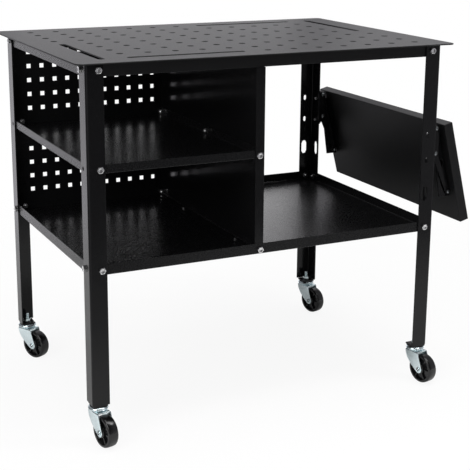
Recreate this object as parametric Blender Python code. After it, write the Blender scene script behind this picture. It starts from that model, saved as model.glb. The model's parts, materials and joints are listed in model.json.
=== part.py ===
"""Mobile steel work table with a folding side leaf, as separate pieces.

Metres, +Z up, +X towards the folding leaf, +Y towards the back. While it is built, the origin is
the middle of the leg frame at the height of the leg ends. At the end the whole table is moved so
that the origin is the middle of its bounding box, on the floor. The leaf hangs folded.
"""
import math

import bmesh
import bpy
from mathutils import Matrix, Vector

MM = 0.001

# Fits
GAP = 0.3 * MM              # between pieces that are bolted, welded or stacked together
RUN = 0.35 * MM             # radial clearance of pins, axles and stems in their holes

# Table top
TOP_WIDTH = 907 * MM
TOP_DEPTH = 630 * MM
TOP_THICK = 3 * MM
TOP_CORNER = 15 * MM
HOLE_PITCH = 63.5 * MM
HOLE_DIA = 15 * MM
HOLE_COLUMNS = 13
HOLE_ROWS = 9
SLOT_STEPS = 4              # hole pitches that each clamp slot spans
HOLE_SIDES = 8

# Leg frame
FRAME_WIDTH = 857 * MM
FRAME_DEPTH = 583 * MM
LEG_LENGTH = 735 * MM
LEG_FLANGE = 39 * MM
LEG_THICK = 3 * MM
LEG_BEND = 4 * MM           # outside radius of the folded corner
LEG_SLOT_INSET = 26 * MM    # slot line, from the leg's outer corner
BOLT_SLOT_HEIGHTS = (463.7 * MM, 523.3 * MM)
BOLT_SLOT_WIDTH = 8 * MM
BOLT_SLOT_LENGTH = 15 * MM
GRIP_SLOT_HEIGHT = 384 * MM
GRIP_SLOT_WIDTH = 16 * MM
GRIP_SLOT_LENGTH = 38 * MM
SPARE_HOLE_DIA = 9 * MM     # unused bolt hole in the left legs, at the shelf

# Rails under the top
RAIL_HEIGHT = 27.5 * MM
RAIL_FLANGE = 26 * MM
RAIL_THICK = 2 * MM

# Tray and shelf, heights above the leg ends
TRAY_HEIGHT = 290.5 * MM
TRAY_LIP = 24 * MM
SHELF_HEIGHT = 507.8 * MM
SHELF_LIP = 18.7 * MM
SHEET_THICK = 2 * MM
SHEET_BEND = 1.6 * MM       # outside radius of the folded edges

# Divider, right face measured from the middle of the frame
DIVIDER_X = -24 * MM
DIVIDER_THICK = 2 * MM
DIVIDER_FLANGE = 21 * MM

# Pegboards
PEG_THICK = 1.5 * MM
PEG_HOLE = 10.3 * MM
PEG_COLUMN_PITCH = 32.5 * MM
PEG_ROW_PITCH = 34.6 * MM
PEG_COLUMNS = 11
PEG_ROWS = 5
PEG_RAISE = 2.2 * MM        # hole group above the middle of its bay
PEG_SHIFT = 9 * MM          # hole group to the right of the middle of its bay

# Folding leaf
LEAF_WIDTH = 251 * MM
LEAF_LENGTH = 582 * MM
LEAF_LIP = 23 * MM
LEAF_TILT = 14.5            # degrees off vertical when folded
LEAF_RISE = 12 * MM       # leaf underside above the hinge axis when raised
LEAF_SETBACK = 6.5 * MM       # leaf edge behind the hinge axis when raised

# Folding brackets
HINGE_OUT = 11.5 * MM       # hinge axis outside the leg face
HINGE_HEIGHT = 534.6 * MM
PIVOT_DROP = 60 * MM        # strut pivot below the hinge axis
BRACKET_THICK = 2.5 * MM
BRACKET_INSIDE = 15 * MM    # between the cheeks
BRACKET_ROUND = 8 * MM      # cheek radius about each pivot
BRACKET_FOOT = 452 * MM     # lower end of the bracket's back plate
ARM_THICK = 3 * MM
ARM_EAR = 8 * MM
ARM_FLANGE = 18 * MM
ARM_FLANGE_START = 18 * MM
ARM_FLANGE_THICK = 2.5 * MM
ARM_TOE_OUT = 23 * MM       # toe's corner outside the hinge axis when folded
ARM_TOE_DROP = 170.5 * MM   # toe's corner below the hinge axis when folded
ARM_PIVOT_GAP = 0.8 * MM    # arm's edge to the strut bush when folded
ARM_PLANE = 0.5 * MM        # middle of the arm's web from the bracket's middle
STRUT_PLANE = -4 * MM       # middle of the strut from the bracket's middle
STRUT_LENGTH = 108.5 * MM   # between its pivots
STRUT_WIDTH = 13 * MM
STRUT_THICK = 3 * MM
STRUT_FOLDED = 24.5         # degrees off vertical when folded
STRUT_LIFT = 3.8 * MM       # slot pin above the hinge axis when the leaf is level
BUSH_DIA = 12 * MM
PIN_DIA = 8 * MM
PIN_HEAD_DIA = 13 * MM
PIN_HEAD = 3 * MM
SLOT_PIN_DIA = 7 * MM
SLOT_PIN_HEAD_DIA = 11 * MM
SLOT_PIN_TIP_DIA = 9 * MM
SLOT_CLEARANCE = 0.6 * MM   # round the slot pin in the arm's slot

# Casters
FOOT_SIZE = 33 * MM
FOOT_THICK = 4 * MM
FOOT_INSET = 2 * MM         # foot plate inside the leg's outer faces
STEM_DIA = 10 * MM
STEM_RISE = 22 * MM         # stem above the foot plate
NUT_FLATS = 16 * MM
NUT_HEIGHT = 8 * MM
RACE_DIA = 44 * MM
RACE_CAP = 4 * MM           # upper race, on the stem
RACE_BOWL = 5 * MM          # lower race, on the fork
KINGPIN_DIA = 12 * MM
RIVET_DIA = 16 * MM
RIVET_HEAD = 2 * MM
AXLE_DROP = 55.5 * MM       # axle below the leg ends
CASTER_TRAIL = 29 * MM      # axle behind the swivel axis
CROWN_FRONT = 16 * MM
CROWN_REAR = 24 * MM
CROWN_THICK = 2.5 * MM
CROWN_BOW = 24 * MM         # below the crown's top, where the fork's bowed front edge turns
FORK_THICK = 2.5 * MM
FORK_TIP = 10 * MM
WHEEL_DIA = 70 * MM
WHEEL_WIDTH = 24 * MM
WHEEL_SIDE_GAP = 2 * MM     # rim to fork cheek
HUB_DIA = 24 * MM
HUB_SIDE_GAP = 0.5 * MM     # hub to fork cheek
RIM_DEPTH = 4 * MM          # recess of the wheel faces
TYRE_THICK = 8 * MM
TYRE_ROUND = 3.5 * MM
AXLE_DIA = 8 * MM
AXLE_HEAD_DIA = 13 * MM
AXLE_HEAD = 3 * MM
WHEEL_SIDES = 20
RACE_SIDES = 16
PIN_SIDES = 10

CORNERS = {
    "front_left": (-1, -1),
    "front_right": (1, -1),
    "rear_left": (-1, 1),
    "rear_right": (1, 1),
}
# Degrees about +Z from +X to each caster's trailing direction
CASTER_HEADINGS = {"front_left": -78, "front_right": -78, "rear_left": -60, "rear_right": -75}
BRACKET_SIDES = {"front": -1, "rear": 1}

# Faces that several pieces share
INNER_X = FRAME_WIDTH / 2 - LEG_THICK - GAP
INNER_Y = FRAME_DEPTH / 2 - LEG_THICK - GAP
RAIL_BOTTOM = LEG_LENGTH - RAIL_HEIGHT
TRAY_LIP_TOP = TRAY_HEIGHT + TRAY_LIP
SHELF_LIP_TOP = SHELF_HEIGHT + SHELF_LIP
DIVIDER_LEFT = DIVIDER_X - DIVIDER_THICK
HINGE_X = FRAME_WIDTH / 2 + HINGE_OUT
BRACKET_Y = FRAME_DEPTH / 2 - LEG_SLOT_INSET
LEAF_TURN = math.radians(90 - LEAF_TILT)
STRUT_START = math.radians(STRUT_FOLDED)
STRUT_END = math.pi / 2 + math.asin((PIVOT_DROP + STRUT_LIFT) / STRUT_LENGTH)
STRUT_RATIO = (STRUT_END - STRUT_START) / LEAF_TURN


def remove_all_objects():
    for obj in list(bpy.data.objects):
        bpy.data.objects.remove(obj, do_unlink=True)


def make_material(name, colour, roughness, metallic):
    material = bpy.data.materials.new(name)
    material.use_nodes = True
    shader = material.node_tree.nodes["Principled BSDF"]
    shader.inputs["Base Color"].default_value = (*colour, 1)
    shader.inputs["Roughness"].default_value = roughness
    shader.inputs["Metallic"].default_value = metallic
    return material


def add_empty(name, parent, location, rotation=(0, 0, 0)):
    empty = bpy.data.objects.new(name, None)
    bpy.context.collection.objects.link(empty)
    empty.parent = parent
    empty.location = location
    empty.rotation_euler = rotation
    return empty


def add_piece(name, bm, material, parent, smooth_angle=None):
    """Turn a bmesh into a named object with outward normals."""
    bmesh.ops.remove_doubles(bm, verts=bm.verts, dist=0.001 * MM)
    bmesh.ops.recalc_face_normals(bm, faces=bm.faces)
    mesh = bpy.data.meshes.new(name)
    bm.to_mesh(mesh)
    bm.free()
    if smooth_angle is not None:
        mesh.shade_smooth()
        mesh.set_sharp_from_angle(angle=math.radians(smooth_angle))
    mesh.materials.append(material)
    obj = bpy.data.objects.new(name, mesh)
    bpy.context.collection.objects.link(obj)
    obj.parent = parent
    return obj


def combine(obj, bm, operation):
    """Cut a shape out of an object, or join it on, with a live Boolean."""
    name = f"{obj.name}_{operation.lower()}_{len(obj.modifiers) + 1}"
    other = add_piece(name, bm, obj.data.materials[0], obj.parent)
    other.location = obj.location
    other.rotation_euler = obj.rotation_euler
    other.hide_render = True
    other.display_type = 'WIRE'
    other.hide_set(True)
    modifier = obj.modifiers.new(name, 'BOOLEAN')
    modifier.operation = operation
    modifier.solver = 'EXACT'
    modifier.object = other


def prism(bm, axis, outline, low, high):
    """Extrude a flat outline along an axis; its points give the other two coordinates in XYZ order."""
    corners = [[*point[:axis], low, *point[axis:]] for point in map(tuple, outline)]
    face = bm.faces.new([bm.verts.new(corner) for corner in corners])
    extruded = bmesh.ops.extrude_face_region(bm, geom=[face])
    for item in extruded["geom"]:
        if isinstance(item, bmesh.types.BMVert):
            item.co[axis] = high
    return bm


def box(low, high):
    (x0, y0, z0), (x1, y1, z1) = low, high
    return prism(bmesh.new(), 2, [(x0, y0), (x1, y0), (x1, y1), (x0, y1)], z0, z1)


def arc(centre, radius, start, end, steps):
    """Points on a circle in a plane, angles in degrees."""
    turns = [math.radians(start + (end - start) * step / steps) for step in range(steps + 1)]
    return [(centre[0] + radius * math.cos(a), centre[1] + radius * math.sin(a)) for a in turns]


def stadium(length, width, steps):
    """Slot outline about its middle, long way along the second coordinate."""
    reach = (length - width) / 2
    return arc((0, reach), width / 2, 0, 180, steps) + arc((0, -reach), width / 2, 180, 360, steps)


def cylinder(bm, diameter, length, sides, matrix):
    radius = diameter / 2
    bmesh.ops.create_cone(
        bm, cap_ends=True, segments=sides, radius1=radius, radius2=radius, depth=length, matrix=matrix
    )
    return bm


def turned(profile, sides, closed=False):
    """Revolve (radius, height) points about Z."""
    bm = bmesh.new()
    verts = [bm.verts.new((radius, 0, height)) for radius, height in profile]
    edges = [bm.edges.new(pair) for pair in zip(verts, verts[1:])]
    if closed:
        edges.append(bm.edges.new((verts[-1], verts[0])))
    bmesh.ops.spin(
        bm, geom=verts + edges, cent=(0, 0, 0), axis=(0, 0, 1), angle=math.tau, steps=sides, use_merge=True
    )
    return bm


def lay_along_y(bm):
    """Turn a shape made about Z so that its +Z end points to +Y."""
    bmesh.ops.rotate(bm, verts=bm.verts, cent=(0, 0, 0), matrix=Matrix.Rotation(math.radians(-90), 3, 'X'))
    return bm


def folded_tray(low, high, thick):
    """Sheet tray, open at the top, with rounded folds along its outer edges."""
    bm = box(low, high)
    top = max(bm.faces, key=lambda face: face.calc_center_median().z)
    folds = [edge for edge in bm.edges if top not in edge.link_faces]
    bmesh.ops.inset_region(bm, faces=[top], thickness=thick)
    extruded = bmesh.ops.extrude_face_region(bm, geom=[top])
    sunk = [item for item in extruded["geom"] if isinstance(item, bmesh.types.BMVert)]
    bmesh.ops.translate(bm, verts=sunk, vec=(0, 0, low[2] + thick - high[2]))
    bmesh.ops.delete(bm, geom=[top], context='FACES_ONLY')
    bmesh.ops.bevel(
        bm, geom=folds, offset=SHEET_BEND, segments=2, profile=0.5, affect='EDGES', clamp_overlap=True
    )
    return bm


def build_top(table, coat):
    half_x, half_y = TOP_WIDTH / 2, TOP_DEPTH / 2
    outline = []
    for corner, (side_x, side_y) in enumerate(((1, 1), (-1, 1), (-1, -1), (1, -1))):
        centre = (side_x * (half_x - TOP_CORNER), side_y * (half_y - TOP_CORNER))
        outline += arc(centre, TOP_CORNER, corner * 90, corner * 90 + 90, 4)
    low = LEG_LENGTH + GAP
    plate = prism(bmesh.new(), 2, outline, low, low + TOP_THICK)
    top = add_piece("tabletop_plate", plate, coat, table)

    # Four slots replace runs of outer holes, one run at each edge, turning round the top
    last_column, last_row = HOLE_COLUMNS - 1, HOLE_ROWS - 1
    slots = [
        ((0, 0), (0, SLOT_STEPS)),
        ((1, 0), (1 + SLOT_STEPS, 0)),
        ((last_column, last_row - SLOT_STEPS), (last_column, last_row)),
        ((last_column - 1 - SLOT_STEPS, last_row), (last_column - 1, last_row)),
    ]
    slotted = set()
    for (column_a, row_a), (column_b, row_b) in slots:
        columns, rows = range(column_a, column_b + 1), range(row_a, row_b + 1)
        slotted.update((column, row) for column in columns for row in rows)

    def hole_place(column, row):
        return ((column - last_column / 2) * HOLE_PITCH, (row - last_row / 2) * HOLE_PITCH)

    cutter = bmesh.new()
    depth = 3 * TOP_THICK
    middle = low + TOP_THICK / 2
    for column in range(HOLE_COLUMNS):
        for row in range(HOLE_ROWS):
            if (column, row) not in slotted:
                place = Matrix.Translation((*hole_place(column, row), middle))
                cylinder(cutter, HOLE_DIA, depth, HOLE_SIDES, place)
    for first, last in slots:
        start, end = Vector(hole_place(*first)), Vector(hole_place(*last))
        centre = (start + end) / 2
        across = start.x == end.x
        outline = stadium((end - start).length + HOLE_DIA, HOLE_DIA, HOLE_SIDES // 2)
        points = [(x, y) if across else (y, x) for x, y in outline]
        face = [(centre.x + x, centre.y + y) for x, y in points]
        prism(cutter, 2, face, middle - depth / 2, middle + depth / 2)
    combine(top, cutter, 'DIFFERENCE')


def build_rails(table, coat):
    """Angles bolted inside the legs, their flanges under the top."""
    for name, side in (("front_rail", -1), ("rear_rail", 1)):
        outer, inner, edge = (side * (INNER_Y - depth) for depth in (0, RAIL_THICK, RAIL_FLANGE))
        web = [(-INNER_X, outer), (INNER_X, outer), (INNER_X, inner), (-INNER_X, inner)]
        rail = add_piece(name, prism(bmesh.new(), 2, web, RAIL_BOTTOM, LEG_LENGTH), coat, table)
        end = INNER_X - RAIL_FLANGE - GAP
        flange = [(-end, outer), (end, outer), (end, edge), (-end, edge)]
        combine(rail, prism(bmesh.new(), 2, flange, LEG_LENGTH - RAIL_THICK, LEG_LENGTH), 'UNION')
    under = LEG_LENGTH - RAIL_THICK
    section = [(0, RAIL_BOTTOM), (RAIL_THICK, RAIL_BOTTOM), (RAIL_THICK, under), (RAIL_FLANGE, under),
               (RAIL_FLANGE, LEG_LENGTH), (0, LEG_LENGTH)]
    end = INNER_Y - RAIL_THICK - GAP
    for name, side in (("left_rail", -1), ("right_rail", 1)):
        outline = [(side * (INNER_X - x), z) for x, z in section]
        add_piece(name, prism(bmesh.new(), 1, outline, -end, end), coat, table)


def leg_slots(side_x, side_y):
    """Bolt slots and one large grip slot through both flanges of a leg."""
    cutter = bmesh.new()
    reach = 3 * LEG_THICK
    slots = [(height, BOLT_SLOT_WIDTH, BOLT_SLOT_LENGTH) for height in BOLT_SLOT_HEIGHTS]
    slots.append((GRIP_SLOT_HEIGHT, GRIP_SLOT_WIDTH, GRIP_SLOT_LENGTH))
    corner_x, corner_y = side_x * FRAME_WIDTH / 2, side_y * FRAME_DEPTH / 2
    middle_x, middle_y = corner_x - side_x * LEG_SLOT_INSET, corner_y - side_y * LEG_SLOT_INSET
    for height, width, length in slots:
        outline = stadium(length, width, 3)
        front = [(middle_x + a, height + b) for a, b in outline]
        prism(cutter, 1, front, corner_y - reach, corner_y + reach)
        side = [(middle_y + a, height + b) for a, b in outline]
        prism(cutter, 0, side, corner_x - reach, corner_x + reach)
    return cutter


def build_legs(table, coat):
    bend = (LEG_BEND, LEG_BEND)
    outer = arc(bend, LEG_BEND, 270, 180, 3)
    inner = arc(bend, LEG_BEND - LEG_THICK, 180, 270, 2)
    section = outer + [(0, LEG_FLANGE), (LEG_THICK, LEG_FLANGE)] + inner
    section += [(LEG_FLANGE, LEG_THICK), (LEG_FLANGE, 0)]
    for corner, (side_x, side_y) in CORNERS.items():
        outline = [(side_x * (FRAME_WIDTH / 2 - x), side_y * (FRAME_DEPTH / 2 - y)) for x, y in section]
        leg = prism(bmesh.new(), 2, outline, 0, LEG_LENGTH)
        piece = add_piece(f"{corner}_leg", leg, coat, table)
        if side_x > 0:
            combine(piece, leg_slots(side_x, side_y), 'DIFFERENCE')
        else:
            middle_y = side_y * (FRAME_DEPTH / 2 - LEG_SLOT_INSET)
            place = Matrix.Translation((-FRAME_WIDTH / 2, middle_y, (SHELF_HEIGHT + SHELF_LIP_TOP) / 2))
            place = place @ Matrix.Rotation(math.radians(90), 4, 'Y')
            hole = cylinder(bmesh.new(), SPARE_HOLE_DIA, 6 * LEG_THICK, HOLE_SIDES, place)
            combine(piece, hole, 'DIFFERENCE')


def build_tray_and_shelf(table, coat):
    tray = folded_tray((-INNER_X, -INNER_Y, TRAY_HEIGHT), (INNER_X, INNER_Y, TRAY_LIP_TOP), SHEET_THICK)
    add_piece("bottom_tray", tray, coat, table)
    right = DIVIDER_LEFT - GAP
    shelf = folded_tray((-INNER_X, -INNER_Y, SHELF_HEIGHT), (right, INNER_Y, SHELF_LIP_TOP), SHEET_THICK)
    add_piece("mid_shelf", shelf, coat, table)


def build_divider(table, coat):
    """Upright sheet that steps out past the tray lips and the rails, with flanges folded to the left."""
    within = INNER_Y - SHEET_THICK - GAP
    flush = INNER_Y + GAP + DIVIDER_THICK
    floor = TRAY_HEIGHT + SHEET_THICK + GAP
    ceiling = LEG_LENGTH - RAIL_THICK - GAP
    zones = [(floor, TRAY_LIP_TOP + GAP, within), (TRAY_LIP_TOP + GAP, RAIL_BOTTOM - GAP, flush),
             (RAIL_BOTTOM - GAP, ceiling, INNER_Y - RAIL_THICK - GAP)]
    edge = [point for low, high, half in zones for point in ((half, low), (half, high))]
    outline = edge + [(-half, height) for half, height in reversed(edge)]
    panel = prism(bmesh.new(), 0, outline, DIVIDER_LEFT, DIVIDER_X)
    divider = add_piece("divider_panel", panel, coat, table)
    left = DIVIDER_X - DIVIDER_FLANGE
    combine(divider, box((left, -within, floor), (DIVIDER_X, within, floor + DIVIDER_THICK)), 'UNION')
    for low, high, half in zones:
        inside = half - DIVIDER_THICK
        combine(divider, box((left, -half, low), (DIVIDER_X, -inside, high)), 'UNION')
        combine(divider, box((left, inside, low), (DIVIDER_X, half, high)), 'UNION')


def build_pegboards(table, coat):
    """Perforated boards that stand on the sheets, inside the rear lips, beside the divider's flange."""
    edge_left, edge_right = SHEET_THICK + GAP - INNER_X, DIVIDER_X - DIVIDER_FLANGE - GAP
    back = INNER_Y - SHEET_THICK - GAP
    front = back - PEG_THICK
    half = PEG_HOLE / 2
    middle_x = (DIVIDER_LEFT - INNER_X) / 2 + PEG_SHIFT
    bays = (
        ("upper_pegboard", SHELF_HEIGHT, SHELF_LIP_TOP, RAIL_BOTTOM, LEG_LENGTH - RAIL_THICK),
        ("lower_pegboard", TRAY_HEIGHT, TRAY_LIP_TOP, SHELF_HEIGHT, SHELF_HEIGHT),
    )
    for name, sheet, bay_low, bay_high, ceiling in bays:
        panel = box((edge_left, front, sheet + SHEET_THICK + GAP), (edge_right, back, ceiling - GAP))
        board = add_piece(name, panel, coat, table)
        cutter = bmesh.new()
        middle_z = (bay_low + bay_high) / 2 + PEG_RAISE
        for column in range(PEG_COLUMNS):
            for row in range(PEG_ROWS):
                x = middle_x + (column - (PEG_COLUMNS - 1) / 2) * PEG_COLUMN_PITCH
                z = middle_z + (row - (PEG_ROWS - 1) / 2) * PEG_ROW_PITCH
                left, right, low, high = x - half, x + half, z - half, z + half
                square = [(left, low), (right, low), (right, high), (left, high)]
                prism(cutter, 1, square, front - PEG_THICK, back + PEG_THICK)
        combine(board, cutter, 'DIFFERENCE')


def slot_path(steps):
    """Where the strut's pin runs in the raised leaf's own plane, from folded to raised.

    The strut turns at a constant rate against the leaf, which gives the arm's slot its curve.
    """
    points = []
    for step in range(steps + 1):
        turned_up = LEAF_TURN * step / steps
        strut = STRUT_START + STRUT_RATIO * turned_up
        pin = Vector((STRUT_LENGTH * math.sin(strut), -PIVOT_DROP - STRUT_LENGTH * math.cos(strut)))
        back = LEAF_TURN - turned_up
        along = pin.x * math.cos(back) - pin.y * math.sin(back)
        above = pin.x * math.sin(back) + pin.y * math.cos(back)
        points.append(Vector((along, above)))
    return points


def band(path, half_width, end_steps):
    """Outline of a path with a constant half width and round ends."""
    sides = ([], [])
    for index, point in enumerate(path):
        ahead = path[min(index + 1, len(path) - 1)] - path[max(index - 1, 0)]
        normal = Vector((-ahead.y, ahead.x)).normalized() * half_width
        sides[0].append(point + normal)
        sides[1].append(point - normal)

    def cap(point, toward):
        start = math.degrees(math.atan2(toward.y, toward.x))
        return [Vector(p) for p in arc(point, half_width, start, start - 180, end_steps)[1:-1]]

    far = cap(path[-1], sides[0][-1] - path[-1])
    near = cap(path[0], sides[1][0] - path[0])
    return sides[0] + far + list(reversed(sides[1])) + near


def build_leaf(hinge, coat):
    """Leaf tray in its raised position about the hinge axis; the hinge empty folds it down."""
    low = (-LEAF_SETBACK, -LEAF_LENGTH / 2, LEAF_RISE)
    high = (LEAF_WIDTH - LEAF_SETBACK, LEAF_LENGTH / 2, LEAF_RISE + LEAF_LIP)
    add_piece("leaf_tray", folded_tray(low, high, SHEET_THICK), coat, hinge)


def build_leaf_arm(name, hinge, middle_y, coat):
    """Slotted arm under the leaf: a tapered web, a flange along the leaf and a hinge bush."""
    top = LEAF_RISE - GAP
    edge = top - ARM_FLANGE_THICK / 2
    sine, cosine = math.cos(LEAF_TURN), math.sin(LEAF_TURN)
    toe = (ARM_TOE_OUT * sine + ARM_TOE_DROP * cosine, ARM_TOE_OUT * cosine - ARM_TOE_DROP * sine)
    end_out = (edge + ARM_TOE_DROP * sine) / cosine
    end = (end_out * sine + ARM_TOE_DROP * cosine, edge)
    waist = (PIVOT_DROP * cosine, BUSH_DIA / 2 + ARM_PIVOT_GAP - PIVOT_DROP * sine)
    outline = [end, (0, edge)] + arc((0, 0), ARM_EAR, 90, 270, 8) + [waist, toe]
    near = middle_y + ARM_PLANE - ARM_THICK / 2
    arm = add_piece(name, prism(bmesh.new(), 1, outline, near, near + ARM_THICK), coat, hinge)
    low = (ARM_FLANGE_START, near + ARM_THICK / 2, top - ARM_FLANGE_THICK)
    flange = box(low, (toe[0], near + ARM_FLANGE, top))
    combine(arm, flange, 'UNION')
    length = BRACKET_INSIDE - 2 * GAP
    place = Matrix.Translation((0, middle_y, 0)) @ Matrix.Rotation(math.radians(90), 4, 'X')
    combine(arm, cylinder(bmesh.new(), BUSH_DIA, length, PIN_SIDES, place), 'UNION')
    combine(arm, cylinder(bmesh.new(), PIN_DIA + 2 * RUN, 2 * length, PIN_SIDES, place), 'DIFFERENCE')
    slot = band(slot_path(12), SLOT_PIN_DIA / 2 + SLOT_CLEARANCE, 6)
    combine(arm, prism(bmesh.new(), 1, slot, near - ARM_THICK, near + 2 * ARM_THICK), 'DIFFERENCE')


def build_wall_bracket(name, table, middle_y, coat):
    """Channel with two cheeks, bolted to the outside of a right-hand leg."""
    back = FRAME_WIDTH / 2 + GAP
    pivot = HINGE_HEIGHT - PIVOT_DROP
    plate = back + BRACKET_THICK
    outline = [(back, BRACKET_FOOT), (plate, BRACKET_FOOT)]
    outline += arc((HINGE_X, pivot), BRACKET_ROUND, -60, 0, 3)
    outline += arc((HINGE_X, HINGE_HEIGHT), BRACKET_ROUND, 0, 90, 4)
    outline.append((back, HINGE_HEIGHT + BRACKET_ROUND))
    half = BRACKET_INSIDE / 2 + BRACKET_THICK
    shape = prism(bmesh.new(), 1, outline, middle_y - half, middle_y + half)
    bracket = add_piece(name, shape, coat, table)
    reach = HINGE_X + 2 * BRACKET_ROUND
    low = (plate, middle_y - BRACKET_INSIDE / 2, BRACKET_FOOT - BRACKET_ROUND)
    high = (reach, middle_y + BRACKET_INSIDE / 2, HINGE_HEIGHT + 2 * BRACKET_ROUND)
    combine(bracket, box(low, high), 'DIFFERENCE')
    for height in (HINGE_HEIGHT, pivot):
        place = Matrix.Translation((HINGE_X, middle_y, height)) @ Matrix.Rotation(math.radians(90), 4, 'X')
        hole = cylinder(bmesh.new(), PIN_DIA + 2 * RUN, 4 * half, PIN_SIDES, place)
        combine(bracket, hole, 'DIFFERENCE')


def build_pivot_pin(name, table, height, middle_y, zinc):
    """Headed pin across both cheeks of a bracket."""
    shank, head = PIN_DIA / 2, PIN_HEAD_DIA / 2
    reach = BRACKET_INSIDE / 2 + BRACKET_THICK + GAP
    end = reach + PIN_HEAD
    profile = [(0, end), (head, end), (head, reach), (shank, reach), (shank, -reach), (head, -reach),
               (head, -end), (0, -end)]
    pin = add_piece(name, lay_along_y(turned(profile, PIN_SIDES)), zinc, table, 40)
    pin.location = (HINGE_X, middle_y, height)


def build_strut(side, pivot, coat, zinc):
    """Flat strut along local +X from its pivot, with a bush and the pin that runs in the arm's slot."""
    half = STRUT_WIDTH / 2
    outline = arc((0, 0), half, 90, 270, 6) + arc((STRUT_LENGTH, 0), half, -90, 90, 6)
    near = STRUT_PLANE - STRUT_THICK / 2
    bar = prism(bmesh.new(), 1, outline, near, near + STRUT_THICK)
    strut = add_piece(f"{side}_strut", bar, coat, pivot)
    across = Matrix.Rotation(math.radians(90), 4, 'X')
    length = BRACKET_INSIDE - 2 * GAP
    combine(strut, cylinder(bmesh.new(), BUSH_DIA, length, PIN_SIDES, across), 'UNION')
    combine(strut, cylinder(bmesh.new(), PIN_DIA + 2 * RUN, 2 * length, PIN_SIDES, across), 'DIFFERENCE')
    far = Matrix.Translation((STRUT_LENGTH, 0, 0)) @ across
    hole = cylinder(bmesh.new(), SLOT_PIN_DIA + 2 * GAP, 2 * length, PIN_SIDES, far)
    combine(strut, hole, 'DIFFERENCE')

    shank, head, tip = SLOT_PIN_DIA / 2, SLOT_PIN_HEAD_DIA / 2, SLOT_PIN_TIP_DIA / 2
    seat = near - GAP
    beyond = ARM_PLANE + ARM_THICK / 2 + SLOT_CLEARANCE
    end = beyond + PIN_HEAD / 2
    profile = [(0, end), (tip, end), (tip, beyond), (shank, beyond), (shank, seat), (head, seat),
               (head, seat - PIN_HEAD), (0, seat - PIN_HEAD)]
    pin = add_piece(f"{side}_slot_pin", lay_along_y(turned(profile, PIN_SIDES)), zinc, pivot, 40)
    pin.location = (STRUT_LENGTH, 0, 0)


def build_folding_leaf(table, coat, zinc):
    hinge = add_empty("leaf_hinge", table, (HINGE_X, 0, HINGE_HEIGHT), (0, LEAF_TURN, 0))
    build_leaf(hinge, coat)
    pivot_height = HINGE_HEIGHT - PIVOT_DROP
    for side, sign in BRACKET_SIDES.items():
        middle_y = sign * BRACKET_Y
        build_wall_bracket(f"{side}_wall_bracket", table, middle_y, coat)
        build_leaf_arm(f"{side}_leaf_arm", hinge, middle_y, coat)
        build_pivot_pin(f"{side}_hinge_pin", table, HINGE_HEIGHT, middle_y, zinc)
        build_pivot_pin(f"{side}_strut_pin", table, pivot_height, middle_y, zinc)
        turn = math.pi / 2 - STRUT_START
        pivot = add_empty(f"{side}_strut_pivot", table, (HINGE_X, middle_y, pivot_height), (0, turn, 0))
        build_strut(side, pivot, coat, zinc)


def build_foot_plate(corner, table, side_x, side_y, coat):
    low_z = -GAP - FOOT_THICK
    near_x, near_y = FRAME_WIDTH / 2 - FOOT_INSET, FRAME_DEPTH / 2 - FOOT_INSET
    far_x, far_y = near_x - FOOT_SIZE, near_y - FOOT_SIZE
    xs, ys = sorted((side_x * near_x, side_x * far_x)), sorted((side_y * near_y, side_y * far_y))
    plate = box((xs[0], ys[0], low_z), (xs[1], ys[1], -GAP))
    foot = add_piece(f"{corner}_foot_plate", plate, coat, table)
    centre = Vector((sum(xs) / 2, sum(ys) / 2, 0))
    place = Matrix.Translation(centre)
    hole = cylinder(bmesh.new(), STEM_DIA + 2 * RUN, 4 * FOOT_THICK, PIN_SIDES, place)
    combine(foot, hole, 'DIFFERENCE')
    return centre


def build_stem(corner, table, centre, zinc):
    """Threaded stem with the upper race and the kingpin that carries the fork, and its nut."""
    race_top = -2 * GAP - FOOT_THICK
    race_low = race_top - RACE_CAP
    crown_low = race_low - GAP - RACE_BOWL - CROWN_THICK
    rivet = crown_low - GAP
    profile = [(0, STEM_RISE), (STEM_DIA / 2, STEM_RISE), (STEM_DIA / 2, race_top),
               (RACE_DIA / 2, race_top), (RACE_DIA / 2, race_low), (KINGPIN_DIA / 2, race_low),
               (KINGPIN_DIA / 2, rivet), (RIVET_DIA / 2, rivet), (RIVET_DIA / 2, rivet - RIVET_HEAD),
               (0, rivet - RIVET_HEAD)]
    stem = add_piece(f"{corner}_caster_stem", turned(profile, RACE_SIDES), zinc, table, 40)
    stem.location = centre

    nut = bmesh.new()
    across_corners = NUT_FLATS / math.cos(math.radians(30))
    cylinder(nut, across_corners, NUT_HEIGHT, 6, Matrix.Translation((0, 0, NUT_HEIGHT / 2)))
    piece = add_piece(f"{corner}_stem_nut", nut, zinc, table)
    piece.location = centre
    hole = cylinder(bmesh.new(), STEM_DIA + 2 * RUN, 4 * NUT_HEIGHT, PIN_SIDES, Matrix.Identity(4))
    combine(piece, hole, 'DIFFERENCE')


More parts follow.
